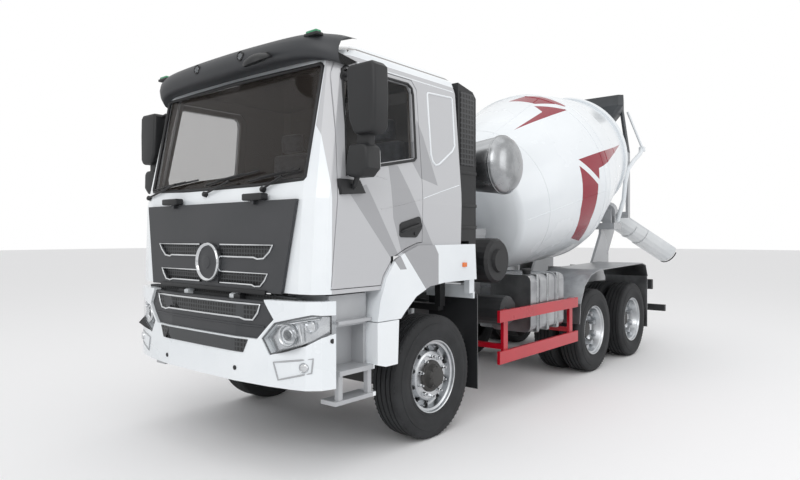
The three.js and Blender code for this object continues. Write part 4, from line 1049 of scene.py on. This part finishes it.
def makeBumperFittings():
    # parking sensors, fog lamps with a grey line that paints the shade round their sunken recesses,
    # and the net of the air vent
    discs = []
    for x, z in bumperShape["sensors"]:
        spot = onSurface("bumper", at(x, -1.5, z), frontward, 0.003)
        discs.append(lathe("sensor", [(-0.006, 0.0), (-0.006, 0.017), (0.002, 0.017),
                                      (0.003, 0.013), (0.001, 0.011), (0.001, 0.0)], spot,
                           (0, -1, 0), 24))
    for side in (-1, 1):
        x, y, z = bumperShape["sideSensor"]
        spot = onSurface("bumper", at(side * x, y, z), (-side, 0, 0))
        discs.append(lathe("sideSensor", [(-0.006, 0.0), (-0.006, 0.017), (0.003, 0.017),
                                          (0.003, 0.0)], spot, (side, 0, 0), 24))
    finishPiece(joined("bumperSensors", discs), "black", "chassis")
    rows = [[at(t / 12 * reach, -1.5, z) for t in range(-12, 13)]
            for reach, z in bumperShape["vent"]]
    vent = surfaceStrip("bumperVent", "bumper", rows, 0.007, 0.016)
    finishPiece(vent, "net", "chassis")
    rims, lamps = [], []
    for side in (-1, 1):
        corners = bumperShape["fog"]
        outline = [onSurface("bumper", at(side * (a[0] + (b[0] - a[0]) * t), -1.5,
                                          a[1] + (b[1] - a[1]) * t), frontward, 0.002)
                   for a, b in zip(corners, corners[1:] + corners[:1]) for t in (0, 0.25, 0.5, 0.75)]
        # grey line on the recess outline: painted shade at the edge of the sunken recess
        rims.append(pipe("fogRecessShadeLine", outline, 0.006, True, 3))
        x, z = bumperShape["fogLamp"]
        spot = onSurface("bumper", at(side * x, -1.5, z), frontward)
        aim = Vector((side * 0.35, -1, 0))
        lamps.append(lathe("fogLamp", [(-0.03, 0.0), (-0.03, 0.034), (0.006, 0.036),
                                       (0.012, 0.032), (0.006, 0.028), (0.012, 0.015),
                                       (0.014, 0.0)], spot, aim, 32))
    # grey enamel on the recess outline is painted shade, the bumper round it is white
    finishPiece(joined("fogRecessShadeLines", rims), "grey", "chassis", angle=60)
    finishPiece(joined("fogLamps", lamps), "chrome", "chassis", angle=45)
    print("bumper fitted")


makeBumperFittings()

headlampShape = {"outline": [(0.742, 0.985), (0.815, 0.880), (1.105, 0.964), (1.205, 1.040),
                             (1.205, 1.158), (1.140, 1.166), (0.858, 1.100)],
                 "middle": (0.99, 1.03), "projector": (0.950, 1.020), "beam": (1.115, 1.085)}


def inside(x, z, depth):
    # a place behind the left lamp's lens
    spot = onSurface("headlamp_left", at(x, -1.45, z), frontward)
    return spot + Vector((-0.25 * depth, depth, 0))


def makeHeadlamp():
    # clear-lensed lamp: bright bowl, projector with its ring, small outer beam, dark eyebrow
    shape = headlampShape
    centre = shape["middle"]
    outline = [inside(centre[0] + (x - centre[0]) * 0.96, centre[1] + (z - centre[1]) * 0.94,
                      0.045) for x, z in shape["outline"]]
    bowl = plate("headlampBowl", outline, (-0.01, 0.02, 0))
    finishPiece(bowl, "alloy", "chassis", 0.003)
    pieces = []
    aim = Vector((0.25, -1, 0))
    x, z = shape["projector"]
    spot = inside(x, z, 0.045)
    pieces.append(lathe("projectorRing", [(-0.02, 0.0), (-0.02, 0.074), (0.026, 0.080),
                                          (0.034, 0.074), (0.030, 0.066), (0.010, 0.060),
                                          (0.006, 0.045), (0.022, 0.042), (0.026, 0.036),
                                          (0.018, 0.030), (0.018, 0.0)], spot, aim, 48))
    x, z = shape["beam"]
    spot = inside(x, z, 0.045)
    pieces.append(lathe("beamRing", [(-0.02, 0.0), (-0.02, 0.040), (0.020, 0.044),
                                     (0.026, 0.038), (0.006, 0.026), (0.002, 0.0)], spot, aim,
                        36))
    rim = [inside(x, z, 0.006) for x, z in shape["outline"]]
    edging = pipe("headlampRim", rim, 0.007, True, 3)
    for start, end in (((0.86, 1.083), (1.17, 1.142)), ((1.04, 1.095), (1.065, 0.975))):
        line = [inside(*start, 0.02), inside(*end, 0.02)]
        pieces.append(pipe("headlampBlade", line, 0.009, sides=2))
    fittings = joined("headlampFittingsLeft", pieces)
    finishPiece(fittings, "chrome", "chassis", angle=50)
    x, z = shape["projector"]
    bulb = lathe("headlampEye", [(0.016, 0.0), (0.016, 0.030), (0.026, 0.026), (0.034, 0.014),
                                 (0.037, 0.0)], inside(x, z, 0.045), aim, 32)
    finishPiece(bulb, "darkGlass", "chassis", angle=60)
    rows = [[(0.850, 0.897), (0.95, 0.922), (1.05, 0.950), (1.12, 0.985)],
            [(0.838, 0.880), (0.95, 0.906), (1.06, 0.938), (1.13, 0.975)]]
    brow = [inside(x, z, 0.004) for x, z in rows[0]] + [inside(x, z, 0.004)
                                                        for x, z in reversed(rows[1])]
    strip = plate("headlampBrow", brow, (0, 0.01, 0))
    strip = joined("headlampBrow", [strip, edging])
    finishPiece(strip, "black", "chassis", 0.001, 50)
    for piece, name, slotName in ((bowl, "headlampBowlRight", "lamp_lens"),
                                  (fittings, "headlampFittingsRight", "stainless"),
                                  (bulb, "headlampEyeRight", "lamp_lens"),
                                  (strip, "headlampBrowRight", "black_plastic")):
        mirroredCopy(piece, name, "chassis")
    print("headlamps modelled")


makeHeadlamp()


cabLevels = [(1.31, 1.224, -1.372), (1.98, 1.240, -1.345), (2.09, 1.238, -1.318),
             (2.98, 1.168, -1.163), (3.08, 1.145, -1.090), (3.15, 1.070, -0.950)]


def cabLevel(z):
    # half width and front face of the cab at a height
    z = min(max(z, cabLevels[0][0]), cabLevels[-1][0])
    for low, high in zip(cabLevels, cabLevels[1:]):
        if z <= high[0]:
            t = (z - low[0]) / (high[0] - low[0])
            return low[1] + t * (high[1] - low[1]), low[2] + t * (high[2] - low[2])


def cabSide(y, z, lift=0.0):
    # a point on the left flank, following the rounded front corner
    half, front = cabLevel(z)
    corner = [(0.0, 0.200), (0.028, 0.095), (0.090, 0.025), (0.150, 0.0), (9.0, 0.0)]
    back = min(max(y - front, 0.0), 8.9)
    for near, far in zip(corner, corner[1:]):
        if back <= far[0]:
            t = (back - near[0]) / (far[0] - near[0])
            return at(half - near[1] - t * (far[1] - near[1]) + lift, y, z)


def cabFace(x, z, lift=0.0):
    # a point on the front face, following the rounded corner
    half, front = cabLevel(z)
    turn = max(0.0, (abs(x) - (half - 0.2)) / 0.105)
    return at(x, front + turn * 0.028 - lift, z)


screenShape = {"seal": [(-1.035, 2.135), (-1.02, 2.115), (-0.5, 2.10), (0.0, 2.098),
                        (0.5, 2.10), (1.02, 2.115), (1.035, 2.135), (1.042, 2.94),
                        (1.02, 2.962), (0.0, 2.972), (-1.02, 2.962), (-1.042, 2.94)],
               "wipers": [((-1.08, 2.060), (-0.62, 2.165), (-0.98, 2.135), (-0.30, 2.185)),
                          ((-0.159, 2.056), (0.18, 2.150), (-0.16, 2.140), (0.52, 2.210)),
                          ((0.60, 2.060), (0.82, 2.150), (0.40, 2.135), (0.98, 2.190))]}


def makeScreenTrim():
    # rubber seal round the windscreen and three parked wipers
    seal = pipe("screenSeal", [cabFace(x, z, 0.001) for x, z in screenShape["seal"]], 0.015,
                True, 3)
    finishPiece(seal, "black", "cab", angle=60)
    parts = []
    for pivot, joint, start, end in screenShape["wipers"]:
        foot = onSurface("cab_shell", at(pivot[0], -1.3, pivot[1]), frontward)
        parts.append(lathe("wiperPivot", [(-0.01, 0.0), (-0.01, 0.024), (0.030, 0.021),
                                          (0.036, 0.014), (0.036, 0.0)], foot, (0, -1, 0.15),
                           24))
        path = [foot + Vector((0, -0.028, 0)), cabFace(*joint, 0.040)]
        parts.append(pipe("wiperArm", path, 0.009, sides=2))
        ends = [cabFace(*start, 0.018), cabFace(*end, 0.018)]
        parts.append(pipe("wiperBlade", ends, 0.008, sides=2))
        low, high = ends[0].lerp(ends[1], 0.25), ends[0].lerp(ends[1], 0.75)
        raised = Vector((0, -0.016, 0.006))
        parts.append(pipe("wiperBow", [low, low + raised, high + raised, high], 0.005, sides=2))
    finishPiece(joined("wipers", parts), "black", "cab", angle=50)
    print("windscreen trimmed")


makeScreenTrim()


visorShape = {"section": [(0.36, 3.228), (0.22, 3.224), (0.12, 3.208), (0.05, 3.176),
                          (0.012, 3.134), (0.0, 3.090), (0.010, 3.050), (0.038, 3.022),
                          (0.075, 3.012), (0.200, 3.020), (0.36, 3.060)],
              "reach": 1.185, "front": -1.338, "droop": 0.016, "hook": 0.055, "sweep": 0.05}


def makeVisor():
    # moulded brow: one section swept across the cab, drooping and turning back at both ends
    shape = visorShape
    across, along = 64, len(shape["section"])
    clearSelection()
    bpy.ops.mesh.primitive_grid_add(x_subdivisions=across, y_subdivisions=along - 1, size=2)
    piece = bpy.context.object
    piece.name = "sunVisor"
    for vertex in piece.data.vertices:
        t = math.sin(vertex.co.x * math.pi / 2)
        back, z = shape["section"][round((vertex.co.y + 1) / 2 * (along - 1))]
        turn = abs(t) ** 9
        vertex.co = at(t * shape["reach"],
                       shape["front"] + shape["sweep"] * t * t + 0.15 * turn
                       + back * (1 - 0.45 * turn),
                       z - shape["droop"] * t * t - shape["hook"] * turn)
    bpy.ops.object.mode_set(mode="EDIT")
    selectAll()
    bpy.ops.mesh.region_to_loop()
    bpy.ops.mesh.edge_face_add()
    leaveEdit()
    finishPiece(piece, "charcoal", "cab", angle=50)
    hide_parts("sun_visor")
    print("visor modelled")
    return piece


visor = makeVisor()


def onVisor(x, y, z, direction):
    # where a line first meets the modelled visor
    start = at(x, y, z)
    found, spot = visor.ray_cast(start, Vector(direction))[:2]
    return spot if found else start


def makeVisorLamps():
    # two small lamps let into the visor and a green marker lamp on its crest
    eyes, rims = [], []
    for side in (-1, 1):
        spot = onVisor(side * 0.30, -1.6, 3.110, (0, 1, 0))
        rims.append(lathe("visorLampRim", [(-0.01, 0.0), (-0.01, 0.040), (0.006, 0.040),
                                           (0.010, 0.034), (0.002, 0.030), (0.002, 0.0)], spot,
                          (0, -1, 0.1), 32))
        eyes.append(lathe("visorLamp", [(0.0, 0.0), (0.0, 0.029), (0.008, 0.026), (0.013, 0.014),
                                        (0.014, 0.0)], spot, (0, -1, 0.1), 32))
    finishPiece(joined("visorLampRims", rims), "black", "cab")
    finishPiece(joined("visorLamps", eyes), "lens", "cab", angle=60)
    housings, lenses = [], []
    for side in (-1, 1):
        spot = onVisor(side * 1.01, -1.215, 3.5, (0, 0, -1))
        housings.append(block("markerFoot", spot + Vector((-0.07, -0.035, -0.01)),
                              spot + Vector((0.07, 0.035, 0.014)), 0.008))
        lenses.append(block("markerLens", spot + Vector((-0.058, -0.028, 0.008)),
                            spot + Vector((0.058, 0.028, 0.034)), 0.012))
    finishPiece(joined("markerFeet", housings), "black", "cab", 0.002)
    finishPiece(joined("markerLenses", lenses), "green", "cab", 0.002, 50)
    print("visor lamps modelled")


kerbShape = {"spot": (0.60, -1.40, 3.005), "aim": (0.1, 0.45, -1),
             "arm": [(0.62, -1.34, 3.07), (0.63, -1.28, 3.09)]}


def makeKerbMirror():
    # small round mirror on a short arm under the visor, its back to the front
    spot, aim = at(*kerbShape["spot"]), Vector(kerbShape["aim"])
    bowl = lathe("kerbMirror", [(-0.052, 0.0), (-0.046, 0.040), (-0.030, 0.085), (-0.008, 0.108),
                                (0.008, 0.110), (0.012, 0.104), (0.004, 0.100), (0.014, 0.050),
                                (0.018, 0.0)], spot, aim, 40)
    arm = pipe("kerbMirrorArm", [spot + Vector((0, 0, 0.03))]
               + [at(*place) for place in kerbShape["arm"]], 0.010, sides=3)
    finishPiece(joined("kerbMirror", [bowl, arm]), "black", "cab", angle=50)
    print("kerb mirror modelled")


makeVisorLamps()
makeKerbMirror()

doorShape = {"seal": [(-1.105, 2.15), (-1.070, 2.915), (-1.045, 2.942), (-0.345, 2.942),
                      (-0.300, 2.915), (-0.288, 2.86), (-0.300, 2.345), (-0.325, 2.325),
                      (-0.755, 2.245)],
             "recess": [(-0.524, 1.805), (-0.50, 1.822), (-0.29, 1.873), (-0.268, 1.865),
                        (-0.241, 1.800), (-0.246, 1.775), (-0.305, 1.712), (-0.33, 1.704),
                        (-0.505, 1.706), (-0.524, 1.722)],
             "swage": [(-0.741, 1.918), (-0.5, 1.963), (-0.240, 2.016)],
             "crease": [(-0.88, 2.178), (-0.668, 2.148)]}


def makeDoorTrim():
    # window seal, handle in its recess, pressed lines
    seal = pipe("doorSealLeft", [cabSide(y, z, 0.001) for y, z in doorShape["seal"]], 0.012,
                True, 3)
    recess = plate("handleRecess", [cabSide(y, z, -0.004) for y, z in doorShape["recess"]],
                   (0.010, 0, 0))
    grip = pipe("handleGrip", [cabSide(-0.498, 1.748, 0.004), cabSide(-0.485, 1.760, 0.026),
                               cabSide(-0.30, 1.806, 0.026), cabSide(-0.272, 1.808, 0.004)],
                0.011, sides=3)
    lock = lathe("doorLock", [(0.0, 0.0), (0.0, 0.014), (0.010, 0.012), (0.010, 0.0)],
                 cabSide(-0.335, 1.735, 0.004), (1, 0, 0), 24)
    trim = joined("doorTrimLeft", [seal, recess, grip, lock])
    finishPiece(trim, "black", "left_door", angle=50)
    lines = [pipe("doorLine", [cabSide(y, z, -0.001) for y, z in doorShape[key]], 0.0045,
                  sides=2) for key in ("swage", "crease")]
    pressed = joined("doorLinesLeft", lines)
    finishPiece(pressed, "twoTone", "left_door", angle=60)
    mirroredCopy(trim, "doorTrimRight", "right_door")
    mirroredCopy(pressed, "doorLinesRight", "right_door")
    print("doors trimmed")


makeDoorTrim()

flankShape = {"panel": [(-0.091, 2.900), (-0.078, 2.918), (0.255, 2.936), (0.272, 2.92),
                        (0.265, 2.505), (0.225, 2.455), (0.02, 2.325), (-0.035, 2.310),
                        (-0.075, 2.345), (-0.090, 2.40)],
              "swage": [(-0.222, 2.022), (0.02, 2.090), (0.30, 2.163)]}


def makeCabFlank():
    # raised panel behind the door and the pressed line carried on from it, in white enamel on the
    # grey flank as a painted highlight
    panel = pipe("sidePanelBead", [cabSide(y, z) for y, z in flankShape["panel"]], 0.009, True, 3)
    swage = pipe("sideSwage", [cabSide(y, z, -0.001) for y, z in flankShape["swage"]], 0.0045,
                 sides=2)
    # white enamel on the bead and swage is a painted highlight along their lit edges
    highlightBeads = joined("cabBeadsHighlightLeft", [panel, swage])
    finishPiece(highlightBeads, "white", "cab", angle=60)
    mirroredCopy(highlightBeads, "cabBeadsHighlightRight", "cab")
    gutter = pipe("roofGutter", [cabSide(y / 10, 2.992, -0.002) for y in range(-10, 4)], 0.006,
                  sides=2)
    finishPiece(gutter, "white", "cab", angle=60)
    mirroredCopy(gutter, "roofGutterRight", "cab")
    lamps = []
    for side in (-1, 1):
        spot = onSurface("fender_left" if side > 0 else "fender_right", at(side * 1.4, 0.352, 1.462),
                         (-side, 0, 0))
        low, high = Vector((-0.004, -0.030, -0.020)), Vector((0.014, 0.030, 0.020))
        lamps.append(block("sideMarker", spot + low, spot + high, 0.005))
    finishPiece(joined("sideMarkers", lamps), "amber", "chassis", 0.001)
    print("cab sides trimmed")


makeCabFlank()

mirrorShape = {"main": [(1.285, 2.865), (1.31, 2.90), (1.52, 2.90), (1.553, 2.87), (1.56, 2.70),
                        (1.555, 2.46), (1.525, 2.415), (1.36, 2.415), (1.31, 2.52)],
               "small": [(1.31, 2.35), (1.46, 2.35), (1.485, 2.315), (1.49, 2.18), (1.43, 2.125),
                         (1.30, 2.125), (1.275, 2.17)],
               "deep": (-1.17, -1.015), "rounding": 0.026}


def makeMirror():
    # two moulded housings on a tubular arm, with mirror glass facing back
    front, rear = mirrorShape["deep"]
    housings = []
    for key in ("main", "small"):
        outline = [at(x, front, z) for x, z in mirrorShape[key]]
        housing = plate("mirrorHousing", outline, (0, rear - front, 0))
        settle(housing)
        edge = roundEdges(housing, mirrorShape["rounding"], 4, 50)
        bpy.ops.object.modifier_apply(modifier=edge.name)
        housings.append(housing)
    neck = block("mirrorNeck", at(1.345, -1.12, 2.33), at(1.47, -1.06, 2.43), 0.012)
    foot = plate("mirrorFoot", [at(1.232, -1.20, 2.115), at(1.232, -1.00, 2.115),
                                at(1.232, -0.94, 2.025), at(1.232, -1.18, 2.005)], (0.036, 0, 0))
    lower = pipe("mirrorArmLow", [at(1.252, -1.065, 2.06), at(1.300, -1.085, 2.075),
                                  at(1.335, -1.09, 2.16)], 0.020, sides=3)
    upper = pipe("mirrorArmTop", [at(1.165, -1.060, 2.865), at(1.25, -1.075, 2.885),
                                  at(1.34, -1.08, 2.86)], 0.016, sides=3)
    cap = lathe("mirrorArmFoot", [(0.0, 0.0), (0.0, 0.038), (0.016, 0.034), (0.022, 0.020),
                                  (0.022, 0.0)], at(1.160, -1.060, 2.865), (1, 0, 0), 24)
    mirror = joined("mirrorLeft", housings + [neck, foot, lower, upper, cap])
    finishPiece(mirror, "black", "left_door", angle=40)
    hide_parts("mirror_left")
    glass = []
    for key in ("main", "small"):
        shape = mirrorShape[key]
        middle = [sum(p[k] for p in shape) / len(shape) for k in (0, 1)]
        outline = [at(middle[0] + (x - middle[0]) * 0.86, rear - 0.004,
                      middle[1] + (z - middle[1]) * 0.9) for x, z in shape]
        glass.append(plate("mirrorGlass", outline, (0, 0.006, 0)))
    glass = joined("mirrorGlassLeft", glass)
    finishPiece(glass, "silvered", "left_door", 0.001)
    other = mirroredCopy(mirror, "mirrorRight", "right_door")
    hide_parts("mirror_right")
    mirroredCopy(glass, "mirrorGlassRight", "right_door")
    print("mirrors modelled")


makeMirror()

steeringShape = {"hub": (-0.62, -0.83, 2.08), "lean": (0, 0.5, 0.866), "radius": 0.215}


def makeSteeringWheel():
    # padded rim on three spokes with a boss and column
    centre, lean = at(*steeringShape["hub"]), Vector(steeringShape["lean"]).normalized()
    section = [(0.016 * math.cos(k * math.tau / 12),
                steeringShape["radius"] - 0.016 + 0.016 * math.sin(k * math.tau / 12))
               for k in range(12)]
    rim = lathe("steeringRim", section, centre, lean, 64, True)
    boss = lathe("steeringBoss", [(-0.02, 0.0), (-0.02, 0.05), (0.0, 0.075), (0.018, 0.07),
                                  (0.024, 0.05), (0.024, 0.0)], centre - lean * 0.03, lean, 40)
    across = sideAxes(lean)[1]
    spokes = []
    for turn in (90, 210, 330):
        out = (Matrix.Rotation(math.radians(turn), 3, lean) @ across).normalized()
        spokes.append(pipe("steeringSpoke", [centre - lean * 0.03 + out * 0.05,
                                             centre - lean * 0.02 + out * 0.12,
                                             centre + out * (steeringShape["radius"] - 0.018)],
                           0.012, sides=3))
    column = pipe("steeringColumn", [centre - lean * 0.04, centre - lean * 0.30], 0.035, sides=5)
    wheel = joined("steeringWheel", [rim, boss, column] + spokes)
    finishPiece(wheel, "black", "cab", angle=50)
    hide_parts("steering_wheel")
    print("steering wheel modelled")


makeSteeringWheel()


seatShape = {"middle": 0.62,
             "pads": (("Cushion", 0.25, (-0.62, 1.785), (-0.08, 1.93), 0.05),
                      ("Backrest", 0.24, (-0.10, 1.86), (0.045, 2.56), 0.05),
                      ("Headrest", 0.13, (-0.085, 2.57), (0.025, 2.76), 0.035))}


def makeSeats():
    # two upholstered seats: cushion, backrest and headrest, on the bench that the frame has
    for side, word in ((1, "Left"), (-1, "Right")):
        middle = side * seatShape["middle"]
        for part, half, front, back, rounding in seatShape["pads"]:
            pad = block("seat" + part + word, at(middle - half, *front), at(middle + half, *back))
            settle(pad)
            for kind, settings in (("BEVEL", {"width": rounding, "segments": 3}),
                                   ("SUBSURF", {"levels": 2, "render_levels": 2})):
                modifier = pad.modifiers.new("shape", kind)
                for key, value in settings.items():
                    setattr(modifier, key, value)
                bpy.ops.object.modifier_apply(modifier=modifier.name)
            finishPiece(pad, "cloth", "cab", angle=80)
    print("seats modelled")


makeSeats()

snorkelShape = {"net": (2.36, 3.03), "bands": (2.28, 1.98, 1.78), "bandHeight": 0.03}


def makeSnorkelFittings():
    # honeycomb intake net down the outer and rear faces, joint bands lower down
    foot, top = snorkelShape["net"]
    outer = block("snorkelNetOuter", at(1.148, 0.435, foot), at(1.156, 0.660, top))
    rear = block("snorkelNetRear", at(0.895, 0.690, foot), at(1.115, 0.697, top))
    finishPiece(joined("snorkelNets", [outer, rear]), "snorkelNet", "chassis",
                0.002)
    bands = [block("snorkelBand", at(0.853, 0.393, z),
                   at(1.157, 0.701, z + snorkelShape["bandHeight"]))
             for z in snorkelShape["bands"]]
    finishPiece(joined("snorkelBands", bands), "black", "chassis", 0.004)
    print("snorkel fitted")


makeSnorkelFittings()


def makeTankFittings():
    # straps and filler cap of the fuel tank
    low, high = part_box("fuel_tank")
    straps = []
    for share in (0.2, 0.5, 0.8):
        y = low.y + (high.y - low.y) * share
        straps.append(block("tankStrap", Vector((low.x + 0.05, y - 0.025, low.z - 0.003)),
                            Vector((high.x + 0.004, y + 0.025, high.z + 0.004))))
    cap = lathe("tankCap", [(0.0, 0.0), (0.0, 0.045), (0.03, 0.045), (0.03, 0.055),
                            (0.048, 0.055), (0.055, 0.045), (0.055, 0.0)],
                Vector((high.x - 0.14, low.y + 0.16, high.z)), (0, 0, 1), 32)
    finishPiece(joined("fuelTankStraps", straps), "stainless", "chassis", 0.012,
                segments=3)
    finishPiece(cap, "black", "chassis", 0.002)
    print("fuel tank fitted")


makeTankFittings()

rearShape = {"arm": [(0.80, 6.29, 3.17), (0.79, 6.22, 3.08), (0.76, 6.02, 2.95),
                     (0.73, 5.84, 2.80), (0.72, 5.75, 2.60), (0.71, 5.70, 2.30),
                     (0.62, 5.66, 1.95)],
             "stay": [(0.62, 6.12, 3.78), (0.80, 6.29, 3.19)]}


def makeRearArms():
    # white tubular arms beside the funnel, with thin stays up to the hopper
    pipes = []
    for side in (-1, 1):
        pipes.append(pipe("rearArm", [at(side * x, y, z) for x, y, z in rearShape["arm"]], 0.034,
                          sides=4))
        pipes.append(pipe("rearStay", [at(side * x, y, z) for x, y, z in rearShape["stay"]],
                          0.020, sides=3))
        pipes.append(block("rearPad", at(side * 0.80 - 0.045, 6.25, 3.12),
                           at(side * 0.80 + 0.045, 6.33, 3.20), 0.01))
    finishPiece(joined("rearArms", pipes), "white", "chassis", angle=60)
    print("rear arms modelled")


tailShape = {"middle": 1.005, "half": 0.185, "depth": (5.618, 5.628), "height": (0.905, 1.045)}


def makeTailLamps():
    # red lamp strips in black housings on the rear mudguards
    shape = tailShape
    lenses, housings = [], []
    for side in (-1, 1):
        low, high = [at(side * shape["middle"] + reach, shape["depth"][k], shape["height"][k])
                     for k, reach in enumerate((-shape["half"], shape["half"]))]
        housings.append(block("tailHousing", low, high, 0.003))
        lenses.append(block("tailLens", low + Vector((0.012, 0.006, 0.012)),
                            Vector((high.x - 0.012, high.y + 0.012, high.z - 0.012)), 0.006))
    finishPiece(joined("tailHousings", housings), "black", "chassis")
    finishPiece(joined("tailLenses", lenses), "redLens", "chassis", 0.001)
    print("tail lamps modelled")


chuteShape = {"pin": (0.105, 6.362, 2.18), "way": (0.4415, 0.7646, -0.469), "railReach": 0.186,
              "railRise": 0.062, "railEnd": 1.58, "ribRadius": 0.197, "ribs": (0.25, 0.65),
              "slideRib": 1.62}


def makeChuteRib(name, spot, across, rise):
    # a half-round rib under the trough
    arc = [spot + (across * math.cos(math.pi * k / 10) - rise * math.sin(math.pi * k / 10))
           * chuteShape["ribRadius"] for k in range(11)]
    return pipe(name, arc, 0.010, sides=3)


def makeChuteFittings():
    # rolled rails along the trough's lips and half-round ribs under it
    shape = chuteShape
    pin, way = at(*shape["pin"]), Vector(shape["way"]).normalized()
    across = way.cross(Vector((0, 0, 1))).normalized()
    rise = across.cross(way).normalized()
    rails = [pipe("chuteRail", [pin + way * s + across * side * shape["railReach"]
                                + rise * shape["railRise"] for s in (0.0, shape["railEnd"])],
                  0.011, sides=3) for side in (-1, 1)]
    ribs = [makeChuteRib("chuteRib", pin + way * s, across, rise) for s in shape["ribs"]]
    slideRib = makeChuteRib("chuteSlideRib", pin + way * shape["slideRib"], across, rise)
    finishPiece(joined("chuteRails", rails + ribs), "chuteWhite", "chute_trough",
                angle=60)
    finishPiece(slideRib, "black", "chute_slide", angle=60)
    print("chute fitted")


makeRearArms()
makeTailLamps()
makeChuteFittings()


studio = {"floorSize": 160, "floor": "#f4f4f5", "softLight": 0.80}


def makeFloor():
    # plain pale floor that takes the truck's shadow, soft light all round, white behind
    clearSelection()
    bpy.ops.mesh.primitive_plane_add(size=studio["floorSize"], location=(0, 0, 0))
    floor = bpy.context.object
    floor.name = "studioFloor"
    floor.data.materials.append(startMaterial("paleFloor", studio["floor"], 0.9)[0])
    world = bpy.data.worlds.new("studioWorld")
    scene.world = world
    world.use_nodes = True
    tree = world.node_tree
    soft = tree.nodes["Background"]
    soft.inputs["Color"].default_value = (1, 1, 1, 1)
    soft.inputs["Strength"].default_value = studio["softLight"]
    seen = addNode(tree, "ShaderNodeBackground", {"Color": (1, 1, 1, 1), "Strength": 1.0})
    rays = addNode(tree, "ShaderNodeLightPath")
    direct = addNode(tree, "ShaderNodeMath", {"operation": "MAXIMUM"},
                     {0: rays.outputs["Is Camera Ray"], 1: rays.outputs["Is Glossy Ray"]})
    direct = addNode(tree, "ShaderNodeMath", {"operation": "MAXIMUM"},
                     {0: direct.outputs[0], 1: rays.outputs["Is Transmission Ray"]})
    mix = addNode(tree, "ShaderNodeMixShader", links={0: direct.outputs[0], 1: soft.outputs[0],
                                                      2: seen.outputs[0]})
    tree.links.new(mix.outputs[0], tree.nodes["World Output"].inputs["Surface"])


lamps = {
    "frontLamp": {"spot": (5.5, -8.5, 7.5), "aim": (0, 0.5, 1.4), "size": 7, "power": 330},
    "topLamp": {"spot": (0.5, 1.5, 11), "aim": (0, 1.5, 0), "size": 10, "power": 160},
    "sideLamp": {"spot": (10, 3.5, 4.5), "aim": (0, 2.5, 1.2), "size": 6, "power": 120},
}


def placeLamps():
    # large soft area lamps, each turned to its aim
    for name, lamp in lamps.items():
        data = bpy.data.lights.new(name, "AREA")
        data.energy = lamp["power"]
        data.size = lamp["size"]
        light = bpy.data.objects.new(name, data)
        scene.collection.objects.link(light)
        light.location = at(*lamp["spot"])
        aim = at(*lamp["aim"]) - light.location
        light.rotation_euler = aim.to_track_quat("-Z", "Y").to_euler()


placeCamera()
makeFloor()
placeLamps()
scene.view_settings.view_transform = "Standard"
print("camera, floor and lamps placed")
